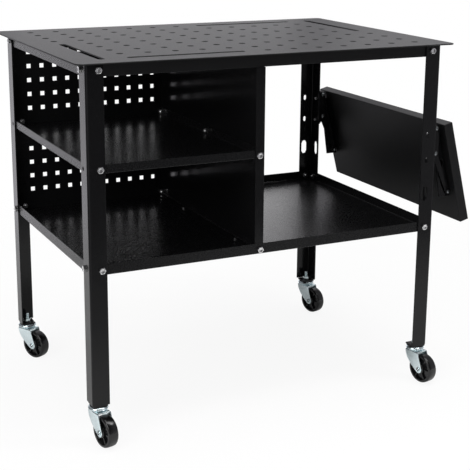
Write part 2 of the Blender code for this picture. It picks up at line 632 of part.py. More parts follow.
def build_fork(corner, swivel, zinc):
    """Bent fork: a crown, two cheeks with bowed front edges, and the lower race on top."""
    race_top = -3 * GAP - FOOT_THICK - RACE_CAP
    crown_top = race_top - RACE_BOWL
    crown_low = crown_top - CROWN_THICK
    axle = Vector((CASTER_TRAIL, -AXLE_DROP))

    def tangent_angle(point, side):
        toward = Vector(point) - axle
        spread = math.acos(FORK_TIP / toward.length)
        return math.degrees(math.atan2(toward.y, toward.x) + side * spread)

    rear, front = Vector((CROWN_REAR, crown_top)), Vector((-CROWN_FRONT, crown_top))
    turn = front - Vector((0, CROWN_BOW))
    start, end = tangent_angle(turn, 1) - 360, tangent_angle(rear, -1)
    tip = [Vector(point) for point in arc(axle, FORK_TIP, start, end, 8)]
    bow = [front.lerp(turn, t).lerp(turn.lerp(tip[0], t), t) for t in (0.3, 0.65)]
    outline = [rear, front, *bow, *tip]
    inside = WHEEL_WIDTH / 2 + WHEEL_SIDE_GAP
    half = inside + FORK_THICK
    block = prism(bmesh.new(), 1, outline, -half, half)
    fork = add_piece(f"{corner}_caster_fork", block, zinc, swivel, 35)
    reach = CROWN_FRONT + CASTER_TRAIL + WHEEL_DIA
    low = (-reach, -inside, -AXLE_DROP - WHEEL_DIA)
    combine(fork, box(low, (reach, inside, crown_low)), 'DIFFERENCE')
    race = Matrix.Translation((0, 0, (race_top + crown_low + CROWN_THICK / 2) / 2))
    height = race_top - crown_low - CROWN_THICK / 2
    combine(fork, cylinder(bmesh.new(), RACE_DIA, height, RACE_SIDES, race), 'UNION')
    bore = cylinder(bmesh.new(), KINGPIN_DIA + 2 * RUN, WHEEL_DIA, PIN_SIDES, Matrix.Identity(4))
    combine(fork, bore, 'DIFFERENCE')
    across = Matrix.Translation((axle.x, 0, axle.y)) @ Matrix.Rotation(math.radians(90), 4, 'X')
    hole = cylinder(bmesh.new(), AXLE_DIA + 2 * RUN, 4 * half, PIN_SIDES, across)
    combine(fork, hole, 'DIFFERENCE')
    return half


def build_axle_and_wheel(corner, swivel, fork_half, zinc, plastic):
    place = (CASTER_TRAIL, 0, -AXLE_DROP)
    shank, head = AXLE_DIA / 2, AXLE_HEAD_DIA / 2
    seat = fork_half + GAP
    end = seat + AXLE_HEAD
    profile = [(0, end), (head, end), (head, seat), (shank, seat), (shank, -seat), (head, -seat),
               (head, -end), (0, -end)]
    axle = add_piece(f"{corner}_caster_axle", lay_along_y(turned(profile, PIN_SIDES)), zinc, swivel, 40)
    axle.location = place

    tread, side, hub = WHEEL_DIA / 2, WHEEL_WIDTH / 2, HUB_DIA / 2
    hub_side = side + WHEEL_SIDE_GAP - HUB_SIDE_GAP
    rim = tread - TYRE_THICK
    half = [(shank + RUN, hub_side), (hub, hub_side), (hub, side - RIM_DEPTH), (rim, side - RIM_DEPTH),
            (rim, side), (tread - TYRE_ROUND, side), (tread, side - TYRE_ROUND)]
    profile = half + [(radius, -height) for radius, height in reversed(half)]
    wheel = turned(profile, WHEEL_SIDES, closed=True)
    piece = add_piece(f"{corner}_caster_wheel", lay_along_y(wheel), plastic, swivel, 40)
    piece.location = place


def build_casters(table, coat, zinc, plastic):
    for corner, (side_x, side_y) in CORNERS.items():
        centre = build_foot_plate(corner, table, side_x, side_y, coat)
        build_stem(corner, table, centre, zinc)
        heading = (0, 0, math.radians(CASTER_HEADINGS[corner]))
        swivel = add_empty(f"{corner}_caster_swivel", table, centre, heading)
        fork_half = build_fork(corner, swivel, zinc)
        build_axle_and_wheel(corner, swivel, fork_half, zinc, plastic)


def stand_on_origin(table):
    """Move the table so that the origin is the middle of its box, on the floor."""
    bpy.context.view_layer.update()
    pieces = [obj for obj in bpy.data.objects if obj.type == 'MESH' and not obj.hide_render]
    corners = [obj.matrix_world @ vert.co for obj in pieces for vert in obj.data.vertices]
    low = Vector(min(point[axis] for point in corners) for axis in range(3))
    high = Vector(max(point[axis] for point in corners) for axis in range(3))
    middle = (low + high) / 2
    table.location = (-middle.x, -middle.y, -low.z)
    bpy.context.view_layer.update()


def main():
    remove_all_objects()
    coat = make_material("black_powder_coat", (0.012, 0.012, 0.013), 0.35, 0.0)
    zinc = make_material("bright_zinc", (0.72, 0.74, 0.75), 0.3, 1.0)
    plastic = make_material("black_wheel_plastic", (0.015, 0.015, 0.015), 0.5, 0.0)
    table = add_empty("table", None, (0, 0, 0))
    build_top(table, coat)
    build_rails(table, coat)
    build_legs(table, coat)
    build_tray_and_shelf(table, coat)
    build_divider(table, coat)
    build_pegboards(table, coat)
    build_folding_leaf(table, coat, zinc)
    build_casters(table, coat, zinc, plastic)
    stand_on_origin(table)


main()
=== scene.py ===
"""Folding work table: finishes, punched top, bolts, folded sheets, casters, rivets and studio round the model.

Laid out as an add-on and run as a script. Every length is in metres, in the frame of the model:
+X towards the folding leaf, +Y to the back, +Z up, with the floor at zero.
"""

import json
import math
from functools import partial

import bmesh
import bpy
from bpy.props import FloatProperty, FloatVectorProperty, IntProperty, PointerProperty
from mathutils import Matrix, Vector

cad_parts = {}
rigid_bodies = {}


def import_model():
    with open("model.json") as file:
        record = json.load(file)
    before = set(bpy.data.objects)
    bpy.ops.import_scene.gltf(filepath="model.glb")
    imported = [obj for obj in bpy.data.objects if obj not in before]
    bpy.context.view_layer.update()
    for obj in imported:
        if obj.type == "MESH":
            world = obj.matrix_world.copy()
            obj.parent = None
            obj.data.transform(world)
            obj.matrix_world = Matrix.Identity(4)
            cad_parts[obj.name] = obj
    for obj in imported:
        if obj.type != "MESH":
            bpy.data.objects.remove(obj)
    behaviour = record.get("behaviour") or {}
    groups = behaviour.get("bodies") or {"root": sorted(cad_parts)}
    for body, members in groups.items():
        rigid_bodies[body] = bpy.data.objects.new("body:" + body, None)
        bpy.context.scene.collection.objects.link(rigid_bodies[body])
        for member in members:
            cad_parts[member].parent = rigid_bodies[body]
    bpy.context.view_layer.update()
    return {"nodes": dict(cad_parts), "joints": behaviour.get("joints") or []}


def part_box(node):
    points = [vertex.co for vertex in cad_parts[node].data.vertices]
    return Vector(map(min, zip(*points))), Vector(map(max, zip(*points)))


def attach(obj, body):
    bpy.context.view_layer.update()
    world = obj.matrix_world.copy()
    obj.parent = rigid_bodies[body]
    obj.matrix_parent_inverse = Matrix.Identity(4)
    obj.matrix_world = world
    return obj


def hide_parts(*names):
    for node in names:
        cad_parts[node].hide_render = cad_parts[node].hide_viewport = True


for left_over in list(bpy.data.objects):
    bpy.data.objects.remove(left_over)
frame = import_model()
JOINTS = {joint["name"]: joint for joint in frame["joints"]}

bl_info = {
    "name": "Folding Work Table",
    "version": (1, 0, 0),
    "blender": (4, 5, 0),
    "location": "View3D > Sidebar > Work Table",
    "description": "Dresses a steel work table that has a folding side leaf and swivel casters",
    "category": "Object",
}

MM = 0.001
MERGE = 0.001 * MM
# Points and levels nearer than this count as the same
NEAR = 0.01 * MM
WHITE = (1, 1, 1, 1)
CORNERS = ("front_left", "front_right", "rear_left", "rear_right")
SIDES = ("front", "rear")
# The record's material slots
COAT, ZINC, PLASTIC = "black_powder_coat", "bright_zinc", "black_wheel_plastic"
# Nodes whose coat isn't the smooth one of the legs, the divider and the brackets
TEXTURED = ("leaf_tray", "front_rail", "rear_rail", "right_rail")
SANDY = ("bottom_tray", "mid_shelf", "left_rail")
# Softening of a sheet's cut edges in millimetres, and of sheets that are folded rounder or tighter
CUT_EDGE = 0.45
FOLDED_EDGES = {"divider_panel": 0.2, "bottom_tray": 0.6, "front_rail": 0.6, "left_rail": 0.6, "leaf_tray": 0.6}
# Room that the model leaves between sheets that lie on each other
GAP = 0.3 * MM
# Places of the divider's foot bolts along the depth, in millimetres
FOOT_BOLTS = (-167, 130)
# Steps round a full turn
ROD_STEPS, BOLT_STEPS, TURNED_STEPS, AXLE_STEPS, RACE_STEPS, WHEEL_STEPS = 18, 20, 24, 28, 40, 48
HOLE_STEPS, CORNER_STEPS, GUARD_STEPS, FLOOR_STEPS = 20, 32, 16, 96
# Steps along the fork's tip and its bowed edge, and along the slot pin's path
TIP_STEPS, BOW_STEPS, PATH_STEPS = 14, 9, 8
# Places of the Mix node's colour sockets, because number sockets share their names
MIX_FACTOR, MIX_LOW, MIX_HIGH = 0, 6, 7
# Most of a noise lies between these values
NOISE_LOW, NOISE_HIGH = 0.3, 0.7


def linear(hex_colour):
    """The linear RGBA of an sRGB hex colour."""
    parts = [int(hex_colour[place:place + 2], 16) / 255 for place in (0, 2, 4)]
    return (*[c / 12.92 if c <= 0.04045 else ((c + 0.055) / 1.055) ** 2.4 for c in parts], 1.0)


def length(name, description, millimetres):
    """A length property with its default in millimetres."""
    return FloatProperty(name=name, description=description, default=millimetres * MM, unit="LENGTH",
                         precision=4)


def colour(name, description, hex_colour):
    """A colour property with its default as an sRGB hex value."""
    return FloatVectorProperty(name=name, description=description, default=linear(hex_colour), size=4,
                               subtype="COLOR", min=0, max=1)


def factor(name, description, default):
    """A property between nought and one."""
    return FloatProperty(name=name, description=description, default=default, min=0, max=1, subtype="FACTOR")


def angle(name, description, degrees):
    """An angle property with its default in degrees."""
    return FloatProperty(name=name, description=description, default=math.radians(degrees), subtype="ANGLE")


def count(name, description, default):
    """A number of pieces that repeat."""
    return IntProperty(name=name, description=description, default=default, min=1)


def power(name, description, watts):
    """A lamp's power."""
    return FloatProperty(name=name, description=description, default=watts, min=0, unit="POWER")


def glow(name, description, default):
    """A strength of the room's light."""
    return FloatProperty(name=name, description=description, default=default, min=0)


class WorkTableFinish(bpy.types.PropertyGroup):
    """Colours and gloss of the table's finishes"""
    coat_dark: colour("Coat, dark", "Darkest tone of the powder coat", "0e0e0f")
    coat_light: colour("Coat, light", "Lightest tone of the powder coat", "151516")
    coat_gloss: factor("Coat roughness", "Middle roughness of the smooth powder coat", 0.15)
    coat_sand: factor("Coat sand", "Strength of the sandy grain in the powder coat", 0.18)
    top_gloss: factor("Top roughness", "Middle roughness of the textured coat of the top and the leaf", 0.42)
    tray_gloss: factor("Tray roughness", "Middle roughness of the sandy coat of the tray and the shelf", 0.26)
    tray_sand: factor("Tray sand", "Strength of the grain in the sandy coat", 0.3)
    coat_grain: length("Coat grain", "Width of the sandy grain in the powder coat", 2.4)
    coat_peel: length("Coat peel", "Width of the orange peel in the powder coat", 6)
    zinc_bright: colour("Zinc, bright", "Lightest tone of the zinc plate", "ecf8fb")
    zinc_dull: colour("Zinc, dull", "Darkest tone of the zinc plate", "d8e6e9")
    zinc_cloud: length("Zinc clouding", "Width of the cloudy patches in the zinc plate", 6)
    zinc_marks: length("Zinc marks", "Width of the tumbling marks in the zinc plate", 1.2)
    bolt_bright: colour("Bolts, bright", "Lightest tone of the bolts' zinc plate", "e8e8e8")
    bolt_dull: colour("Bolts, dull", "Darkest tone of the bolts' zinc plate", "d0d0d0")
    rivet_tone: colour("Rivet steel", "Tone of the plain rivets of the brackets", "8d9193")
    rivet_marks: length("Rivet marks", "Width of the tumbling marks on the rivets", 1.5)
    plastic_tone: colour("Wheel plastic", "Tone of the moulded wheels", "0d0d0e")
    plastic_scuff: colour("Wheel scuff", "Tone of the rubbed places on the wheels", "171717")
    scuff_width: length("Scuff width", "Width of the rubbed places on the wheels", 14)
    plastic_matt: length("Wheel matt", "Width of the moulded matt on the wheels", 0.9)
    # Also the tone of the painted shade in the grooves round the axle ends
    washer_and_painted_shade_tone: colour("Washer nylon", "Tone of the nylon washers", "101010")
    washer_flow: length("Washer flow", "Width of the flow marks in the nylon", 4)
    floor_tone: colour("Floor", "Tone of the studio floor", "fafafa")
    # Painted shade: the floor's tone as the finishes reflect it behind the table and in front on the left
    floor_painted_shade: colour("Floor, dim", "Tone of the floor's dim parts as the finishes reflect it", "6c6c6c")


class WorkTableTop(bpy.types.PropertyGroup):
    """Sizes of the punched table top"""
    hole: length("Hole", "Diameter of the clamp holes", 15)
    pitch: length("Hole pitch", "Distance between the clamp holes", 63.5)
    columns: count("Columns", "Holes across the width", 13)
    rows: count("Rows", "Holes across the depth", 9)
    slot_steps: count("Slot steps", "Hole pitches that each clamp slot spans", 4)
    corner: length("Corner", "Radius of the plate's corners", 15)
    edge: length("Edge", "Softening of the plate's punched edges", 0.8)


class WorkTableFasteners(bpy.types.PropertyGroup):
    """Sizes and places of the bolts, nuts and bends"""
    flats: length("Across flats", "Width of the bolt heads and nuts", 13)
    head: length("Head height", "Height of the bolt heads", 5.3)
    nut: length("Nut height", "Height of the nuts", 6.5)
    thread: length("Thread", "Diameter of the bolts", 8)
    thread_step: length("Thread step", "Pitch of the bolts' thread", 1.25)
    thread_out: length("Thread end", "Thread that stands out past the nut", 4)
    left_inset: length("Left inset", "Bolt line from the corner of a left leg", 27.3)
    right_inset: length("Right inset", "Bolt line from the corner of a right leg", 23.5)
    shelf_inset: length("Shelf inset", "Bolt from the divider's face at the shelf's front", 12.5)
    flange_inset: length("Flange inset", "Bolts from the divider's face at its other flanges", 7)
    flange_drop: length("Flange drop", "Flange bolts below the middle of the lips", 2)
    side_drop: length("Side drop", "Bolt in the divider's side below the middle of the shelf's lips", 1.5)
    foot_inset: length("Foot inset", "Foot bolts from the edge of the divider's foot", 4)
    small_flats: length("Small flats", "Width of the foot bolts", 7.5)
    small_head: length("Small head", "Height of the foot bolts' heads", 4)
    small_nut: length("Small nut", "Height of the foot bolts' nuts", 5)
    small_thread: length("Small thread", "Diameter of the foot bolts", 6)
    small_step: length("Small step", "Pitch of the foot bolts' thread", 1)
    small_length: length("Small length", "Length of the foot bolts", 12)
    sheet: length("Sheet", "Thickness of the rails, trays and divider", 2)
    bend: length("Bend", "Inside radius where the trays and the divider are folded", 3)


class WorkTableCasters(bpy.types.PropertyGroup):
    """Sizes of the casters, measured from the leg ends"""
    stem: length("Stem", "Diameter of the threaded stem", 10)
    stem_rise: length("Stem rise", "Top of the stem above the leg end", 22)
    stem_step: length("Stem thread", "Pitch of the stem's thread", 1.5)
    nut_flats: length("Nut flats", "Width of the stem nut", 16)
    nut_height: length("Nut height", "Height of the stem nut", 8)
    race: length("Race", "Diameter of the swivel race", 44)
    race_top: length("Race top", "Top of the upper race below the leg end", 4.6)
    race_split: length("Race split", "Gap of the race below the leg end", 8.75)
    race_gap: length("Race gap", "Height of the gap between the two races", 0.3)
    kingpin: length("Kingpin", "Diameter of the riveted pin that carries the fork", 12)
    kingpin_play: length("Kingpin play", "Room round the kingpin", 0.4)
    crown_top: length("Crown top", "Top of the fork's crown below the leg end", 13.9)
    crown_front: length("Crown front", "Reach of the crown ahead of the swivel axis", 16)
    crown_rear: length("Crown rear", "Reach of the crown behind the swivel axis", 24)
    bow: length("Bow", "Below the crown's top, where the fork's bowed front edge turns", 24)
    fork_half: length("Fork half", "Half of the fork's outside width", 16.5)
    fork_sheet: length("Fork sheet", "Thickness of the fork's sheet", 2.5)
    fork_tip: length("Fork tip", "Radius of the fork round the axle", 10)
    fork_bend: length("Fork bend", "Rounding of the bends between crown and cheeks", 3.6)
    fork_edge: length("Fork edge", "Softening of the fork's cut edges", 0.4)
    wheel: length("Wheel", "Diameter of the wheels", 70)
    wheel_width: length("Wheel width", "Width of the wheels", 24)
    wheel_rim: length("Wheel rim", "Thickness of the wheels' rims", 7)
    wheel_hollow: length("Wheel hollow", "Depth of the wheels' sides between hub and rim", 7)
    hub: length("Hub", "Diameter of the wheel hubs", 24)
    hub_play: length("Hub play", "Room between hub and fork", 0.5)
    ribs: count("Ribs", "Ribs in each side of a wheel", 6)
    rib_height: length("Rib height", "Height of the ribs above the wheels' sides", 4.5)
    axle: length("Axle", "Diameter of the axle", 8)
    axle_play: length("Axle play", "Room round the axle in the wheel", 0.4)
    axle_head: length("Axle head", "Diameter of the axle's riveted ends", 13)


class WorkTableBrackets(bpy.types.PropertyGroup):
    """Sizes of the folding brackets' rivets, nuts and slot guards"""
    head: length("Rivet head", "Height of a rivet's head with its washer", 3)
    slot_head: length("Slot head", "Height of the slot pin's flatter head with its washer", 1.5)
    washer: length("Washer", "Thickness of the nylon washers", 1.2)
    shank: length("Shank", "Diameter of the rivets' shanks", 6.8)
    nut_flats: length("Nut flats", "Width of the nuts on the brackets' studs", 7.5)
    stud: length("Stud", "Diameter of the brackets' studs", 4.4)
    stud_step: length("Stud thread", "Pitch of the studs' thread", 0.8)
    stud_low: length("Lower stud", "Lower stud above the bracket's lower end", 11.7)
    stud_high: length("Upper stud", "Upper stud above the bracket's lower end", 71.3)
    leg_sheet: length("Leg sheet", "Thickness of the leg angles", 3)
    guard: length("Slot guard", "Width of the plate behind an arm's slot", 11.2)
    guard_sheet: length("Guard sheet", "Thickness of the plate behind an arm's slot", 0.8)
    guard_gap: length("Guard gap", "Room between the slot pin and the plate", 0.4)


class WorkTableStudio(bpy.types.PropertyGroup):
    """Camera, lamps and background"""
    lens: FloatProperty(name="Lens", description="Focal length on a 36 mm sensor", default=88.018,
                        unit="CAMERA")
    place: FloatVectorProperty(name="Camera", description="Place of the camera", size=3,
                               default=(-1.195, -2.44493, 1.14208), subtype="TRANSLATION", unit="LENGTH")
    heading: angle("Heading", "Turn of the view from the back towards the leaf", 26.068)
    pitch: angle("Pitch", "Downward tilt of the view", 14.055)
    roll: angle("Roll", "Roll of the view", 0.474)
    shift: FloatProperty(name="Shift", description="Upward shift of the picture in the frame", default=-0.1)
    key: power("Key lamp", "Power of the left softbox", 45)
    top: power("Top lamp", "Power of the overhead softbox", 45)
    fill: power("Fill lamp", "Power of the right softbox", 14)
    back: power("Back lamp", "Power of the low softbox behind the table", 3.4)
    side: power("Side lamp", "Power of the softbox behind the leaf", 1.4)
    sky: glow("Room light", "Even light from all round", 0.38)
    back_glow: glow("Backdrop glow", "Backdrop as the finishes reflect it", 0.7)
    left_glow: glow("Left glow", "Light added on the left as the finishes reflect it", 0.75)
    right_glow: glow("Right glow", "Light added on the right as the finishes reflect it", 0.36)
    front_glow: glow("Room glow", "Camera side as the finishes reflect it", 0.09)
    room_tint: colour("Room tint", "Tone of the room as the finishes reflect it", "fbf9ff")
    floor_reach: length("Floor reach", "Radius of the studio floor", 2600)
    floor_lift: factor("Floor lift", "How far the camera sees the floor lifted to white", 0.9)


def add_node(tree, kind, inputs=None, **settings):
    """One shader node with its settings, its input values, and the sockets or nodes' results linked into it."""
    node = tree.nodes.new("ShaderNode" + kind)
    for name, value in settings.items():
        setattr(node, name, value)
    for name, value in (inputs or {}).items():
        if isinstance(value, bpy.types.Node):
            value = next(socket for socket in value.outputs if socket.enabled)
        if isinstance(value, bpy.types.NodeSocket):
            tree.links.new(value, node.inputs[name])
        else:
            node.inputs[name].default_value = value
    return node


def empty_tree(owner):
    """The adder of nodes to the emptied node tree of a material or a world."""
    owner.use_nodes = True
    owner.node_tree.nodes.clear()
    return partial(add_node, owner.node_tree)


def patterned(name, noises, gloss, sockets, tone=None, bumps=()):
    """A material with noise patterns in its gloss, tone and relief.

    Each noise has a width, a detail and a roughness. The gloss names its noise and the roughness at both ends,
    the tone its noise, the range of it that counts and the colours at both ends, and each bump its noise,
    strength and height in millimetres. The other sockets of the surface are given by name.
    """
    material = bpy.data.materials.new(name)
    add = empty_tree(material)
    place = add("TexCoord").outputs["Object"]
    patterns = {}
    for pattern, (width, detail, rough) in noises.items():
        patterns[pattern] = add("TexNoise", {"Vector": place, "Scale": 1 / width, "Detail": detail,
                                             "Roughness": rough})
    pattern, low, high = gloss
    inputs = {**sockets, "Roughness": add("MapRange", {"Value": patterns[pattern], "From Min": NOISE_LOW,
                                                       "From Max": NOISE_HIGH, "To Min": low, "To Max": high})}
    if tone:
        pattern, start, end, low, high = tone
        share = add("MapRange", {"Value": patterns[pattern], "From Min": start, "From Max": end})
        inputs["Base Color"] = add("Mix", {MIX_FACTOR: share, MIX_LOW: low, MIX_HIGH: high}, data_type="RGBA")
    relief = {}
    for pattern, strength, height in bumps:
        relief = {"Normal": add("Bump", {"Height": patterns[pattern], "Strength": strength,
                                         "Distance": height * MM, **relief})}
    add("OutputMaterial", {"Surface": add("BsdfPrincipled", {**inputs, **relief})})
    return material


def powder_coat(finish, name, roughness, sand):
    """Stoved polyester powder coat on steel sheet.

    Sprayed dry and melted: an even deep black with a soft sheen, broken by a sandy grain on a slow
    orange peel. The grain scatters part of the mirror image, so the coat reflects less head on than
    smooth lacquer does. The real grain is about 0.5 mm and is drawn coarser so that it shows.
    The coat of the tray, the shelf and the left rail is sandier, and that of the work top, the leaf and
    the other rails is textured and matt, so that it hides scratches.
    """
    return patterned(name, {"grain": (finish.coat_grain, 3, 0.6), "peel": (finish.coat_peel, 1, 0.5)},
                     gloss=("grain", roughness - 0.03, roughness + 0.05),
                     tone=("peel", 0, 1, finish.coat_dark, finish.coat_light),
                     bumps=(("peel", 0.16, 0.6), ("grain", sand, 0.3)), sockets={"IOR": 1.33})


def zinc_plate(finish, name, dull, bright):
    """Bright zinc plate on steel.

    Electroplated and passivated: silver, a little cloudy, with faint tumbling marks that spread the
    highlights. The passivation leaves a cool tint on the pressed forks and hardly any on the bolts.
    """
    return patterned(name, {"cloud": (finish.zinc_cloud, 4, 0.5), "marks": (finish.zinc_marks, 2, 0.5)},
                     gloss=("cloud", 0.2, 0.27), tone=("cloud", 0, 1, dull, bright),
                     bumps=(("marks", 0.01, 0.05),), sockets={"Metallic": 1})


def rivet_steel(finish):
    """Plain steel rivets, barrel finished: a greyer and duller metal than the plated bolts."""
    return patterned("rivet_steel_dull", {"marks": (finish.rivet_marks, 3, 0.5)}, gloss=("marks", 0.3, 0.48),
                     sockets={"Base Color": finish.rivet_tone, "Metallic": 1})


def moulded_plastic(finish):
    """Moulded black polypropylene of the wheels.

    Fine moulded matt with a waxy sheen, rubbed a little greyer in cloudy patches where it rolls.
    """
    return patterned("polypropylene_black",
                     {"scuff": (finish.scuff_width, 5, 0.5), "matt": (finish.plastic_matt, 2, 0.5)},
                     gloss=("scuff", 0.15, 0.24),
                     tone=("scuff", 0.5, 0.8, finish.plastic_tone, finish.plastic_scuff),
                     bumps=(("matt", 0.05, 0.15),), sockets={"IOR": 1.49})


def nylon(finish):
    """Black nylon of the washers, and the same black set round the axle ends as painted shade: smooth, slightly
    glossy, with a faint flow mark from moulding.
    """
    return patterned("nylon_black_and_painted_shade", {"flow": (finish.washer_flow, 2, 0.5)}, gloss=("flow", 0.32, 0.42),
                     sockets={"Base Color": finish.washer_and_painted_shade_tone, "IOR": 1.53})


def finished(name, bm, materials, body, slot, *replaced, place=Matrix(), sharp=32):
    """The finished piece: in place, closed, faces outwards, smooth between sharp edges, riding on its body."""
    bm.transform(place)
    bmesh.ops.remove_doubles(bm, verts=bm.verts, dist=MERGE)
    bmesh.ops.recalc_face_normals(bm, faces=bm.faces)
    open_edges = sum(1 for edge in bm.edges if not edge.is_manifold)
    if open_edges:
        raise RuntimeError(f"{name} has {open_edges} edges that aren't closed")
    mesh = bpy.data.meshes.new(name)
    bm.to_mesh(mesh)
    bm.free()
    for material in materials:
        mesh.materials.append(bpy.data.materials[material])
    mesh.shade_smooth()
    mesh.set_sharp_from_angle(angle=math.radians(sharp))
    piece = bpy.data.objects.new(name, mesh)
    bpy.context.scene.collection.objects.link(piece)
    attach(piece, body)
    if replaced:
        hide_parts(*replaced)


def put(target, source, place=Matrix()):
    """Add a shape, moved to its place, to a piece's mesh."""
    source.transform(place)
    carrier = bpy.data.meshes.new("carrier")
    source.to_mesh(carrier)
    source.free()
    target.from_mesh(carrier)
    bpy.data.meshes.remove(carrier)


def put_end_rings(target, ring, steps):
    """Add a turned ring, in the piece's second material, to both ends of a pin along Z."""
    for sign in (-1, 1):
        before = len(target.faces)
        put(target, lathe([(radius, sign * height) for radius, height in ring], steps))
        target.faces.ensure_lookup_table()
        for face in target.faces[before:]:
            face.material_index = 1


def verts_in(geometry):
    """The vertices among what an operator returns."""
    return [item for item in geometry if isinstance(item, bmesh.types.BMVert)]


def edges_of(verts):
    """The edges that join the given vertices, in a fixed order."""
    chosen = set(verts)
    found = dict.fromkeys(edge for vert in verts for edge in vert.link_edges)
    return [edge for edge in found if edge.verts[0] in chosen and edge.verts[1] in chosen]


def extruded(bm, points, way):
    """A closed bar: the face through the points, swept one way."""
    end = bm.faces.new([bm.verts.new(point) for point in points])
    swept = bmesh.ops.extrude_face_region(bm, geom=[end], use_keep_orig=True)
    bmesh.ops.translate(bm, verts=verts_in(swept["geom"]), vec=way)


def off(radius, height, *steps):
    """Points of a turned profile, in millimetres out from a radius and up from a height."""
    return [(radius + out * MM, height + up * MM) for out, up in steps]


def mirrored(half):
    """A turned profile and its mirror image below z = 0."""
    return half + [(radius, -height) for radius, height in reversed(half)]


def lathe(profile, steps):
    """A turned shape about Z from a profile of radius and height."""
    bm = bmesh.new()
    verts = [bm.verts.new((radius, 0, height)) for radius, height in profile]
    edges = [bm.edges.new(pair) for pair in zip(verts, verts[1:])]
    bmesh.ops.spin(bm, geom=verts + edges, cent=(0, 0, 0), axis=(0, 0, 1), dvec=(0, 0, 0), angle=2 * math.pi,
                   steps=steps, use_merge=True, use_normal_flip=False, use_duplicate=False)
    bmesh.ops.remove_doubles(bm, verts=bm.verts, dist=MERGE)
    return bm


def hex_ring(bm, flats, height):
    """A hexagonal ring of edges, with points between its corners."""
    verts = bmesh.ops.create_circle(bm, segments=TURNED_STEPS, radius=1.0)["verts"]
    for vert in verts:
        turn = math.atan2(vert.co.y, vert.co.x) % (math.pi / 3) - math.pi / 6
        vert.co = Vector((vert.co.x, vert.co.y, 0)).normalized() * (flats / 2 / math.cos(turn))
        vert.co.z = height
    return verts


def hex_body(flats, low, high, both_ends, bore=0.0):
    """A hexagon from low to high. A 30 degree cone turns off its corners at the top, and below too for a nut.

    A nut has a bore with a chamfer, and a bolt's head has a shallow dish on top.
    """
    bm = bmesh.new()
    pad = 0.475 * flats
    slope = math.tan(math.radians(30))
    chamfer = 0.5 * MM

    def round_ring(height):
        place = Matrix.Translation((0, 0, height))
        return bmesh.ops.create_circle(bm, segments=TURNED_STEPS, radius=pad, matrix=place)["verts"]

    def turned_off(height, sign):
        ring = hex_ring(bm, flats, height)
        for vert in ring:
            vert.co.z -= sign * (vert.co.xy.length - pad) * slope
        return ring

    rings = [round_ring(low), turned_off(low, -1)] if both_ends else [hex_ring(bm, flats, low)]
    rings += [turned_off(high, 1), round_ring(high)]
    for lower, upper in zip(rings, rings[1:]):
        bmesh.ops.bridge_loops(bm, edges=edges_of(lower) + edges_of(upper))
    caps = [bmesh.ops.edgeloop_fill(bm, edges=edges_of(ring))["faces"][0] for ring in (rings[0], rings[-1])]
    bmesh.ops.recalc_face_normals(bm, faces=bm.faces)
    if bore:
        for cap in caps:
            bmesh.ops.inset_region(bm, faces=[cap], thickness=pad - bore - chamfer)
            bmesh.ops.inset_region(bm, faces=[cap], thickness=chamfer, depth=-chamfer)
        rims = [edge for cap in caps for edge in cap.edges]
        bmesh.ops.delete(bm, geom=caps, context="FACES_ONLY")
        bmesh.ops.bridge_loops(bm, edges=rims)
    else:
        bmesh.ops.inset_region(bm, faces=[caps[1]], thickness=0.12 * flats)
        bmesh.ops.inset_region(bm, faces=[caps[1]], thickness=0.06 * flats, depth=-0.35 * MM)
    return bm


def thread_profile(radius, step, low, high):
    """Profile of a threaded rod between two heights, with a turned-off end at the top."""
    root = radius * 0.84
    turns = int((high - low - radius * 0.2) / step)
    points = [(0, low), (root, low)]
    for turn in range(turns):
        base = low + turn * step
        points += [(root, base + step * 0.1), (radius, base + step * 0.45), (radius, base + step * 0.6)]
    return points + [(root, low + turns * step), (radius * 0.78, high), (0, high)]


def hex_bolt(sizes, grip):
    """A bolt along Z: its head stands on z = 0, and its nut and thread end are below the grip."""
    bm = bmesh.new()
    bearing = 0.46 * sizes.flats
    put(bm, hex_body(sizes.flats, 0.4 * MM, sizes.head, False))
    put(bm, lathe([(0, 0), (bearing, 0), (bearing, 0.45 * MM), (0, 0.45 * MM)], TURNED_STEPS))
    nut = hex_body(sizes.flats, 0, sizes.nut, True, sizes.thread * 0.46)
    put(bm, nut, Matrix.Translation((0, 0, -grip - sizes.nut)))
    end = thread_profile(sizes.thread / 2, sizes.thread_step, 0, sizes.thread_out + sizes.nut + grip)
    put(bm, lathe(end, BOLT_STEPS), Matrix.Rotation(math.pi, 4, "X"))
    return bm


def facing(point, direction):
    """A place whose Z points along a direction, with the hexagon's flats level."""
    return Matrix.Translation(point) @ Vector(direction).to_track_quat("Z", "Y").to_matrix().to_4x4()


def middle_height(node):
    """Height of the middle of a node's box."""
    low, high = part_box(node)
    return (low.z + high.z) / 2


class WORKTABLE_OT_finishes(bpy.types.Operator):
    """Make the table's finishes and put them on the model's own pieces"""
    bl_idname = "worktable.finishes"
    bl_label = "Finishes"

    def execute(self, context):
        finish = context.scene.work_table_finish
        rivet_steel(finish)
        nylon(finish)
        zinc_plate(finish, "zinc_plate_bolts", finish.bolt_dull, finish.bolt_bright)
        textured = powder_coat(finish, "powder_coat_textured", finish.top_gloss, finish.coat_sand)
        sandy = powder_coat(finish, "powder_coat_sandy", finish.tray_gloss, finish.tray_sand)
        special = {**dict.fromkeys(TEXTURED, textured), **dict.fromkeys(SANDY, sandy)}
        made = {COAT: powder_coat(finish, "powder_coat_black", finish.coat_gloss, finish.coat_sand),
                ZINC: zinc_plate(finish, "zinc_plate_bright", finish.zinc_dull, finish.zinc_bright),
                PLASTIC: moulded_plastic(finish)}
        for name, node in frame["nodes"].items():
            slot = node.material_slots[0]
            kind = slot.material.name.split(".")[0]
            if kind not in made:
                raise RuntimeError(f"{name} has a finish that isn't known: {kind}")
            slot.material = special.get(name, made[kind])
        return {"FINISHED"}


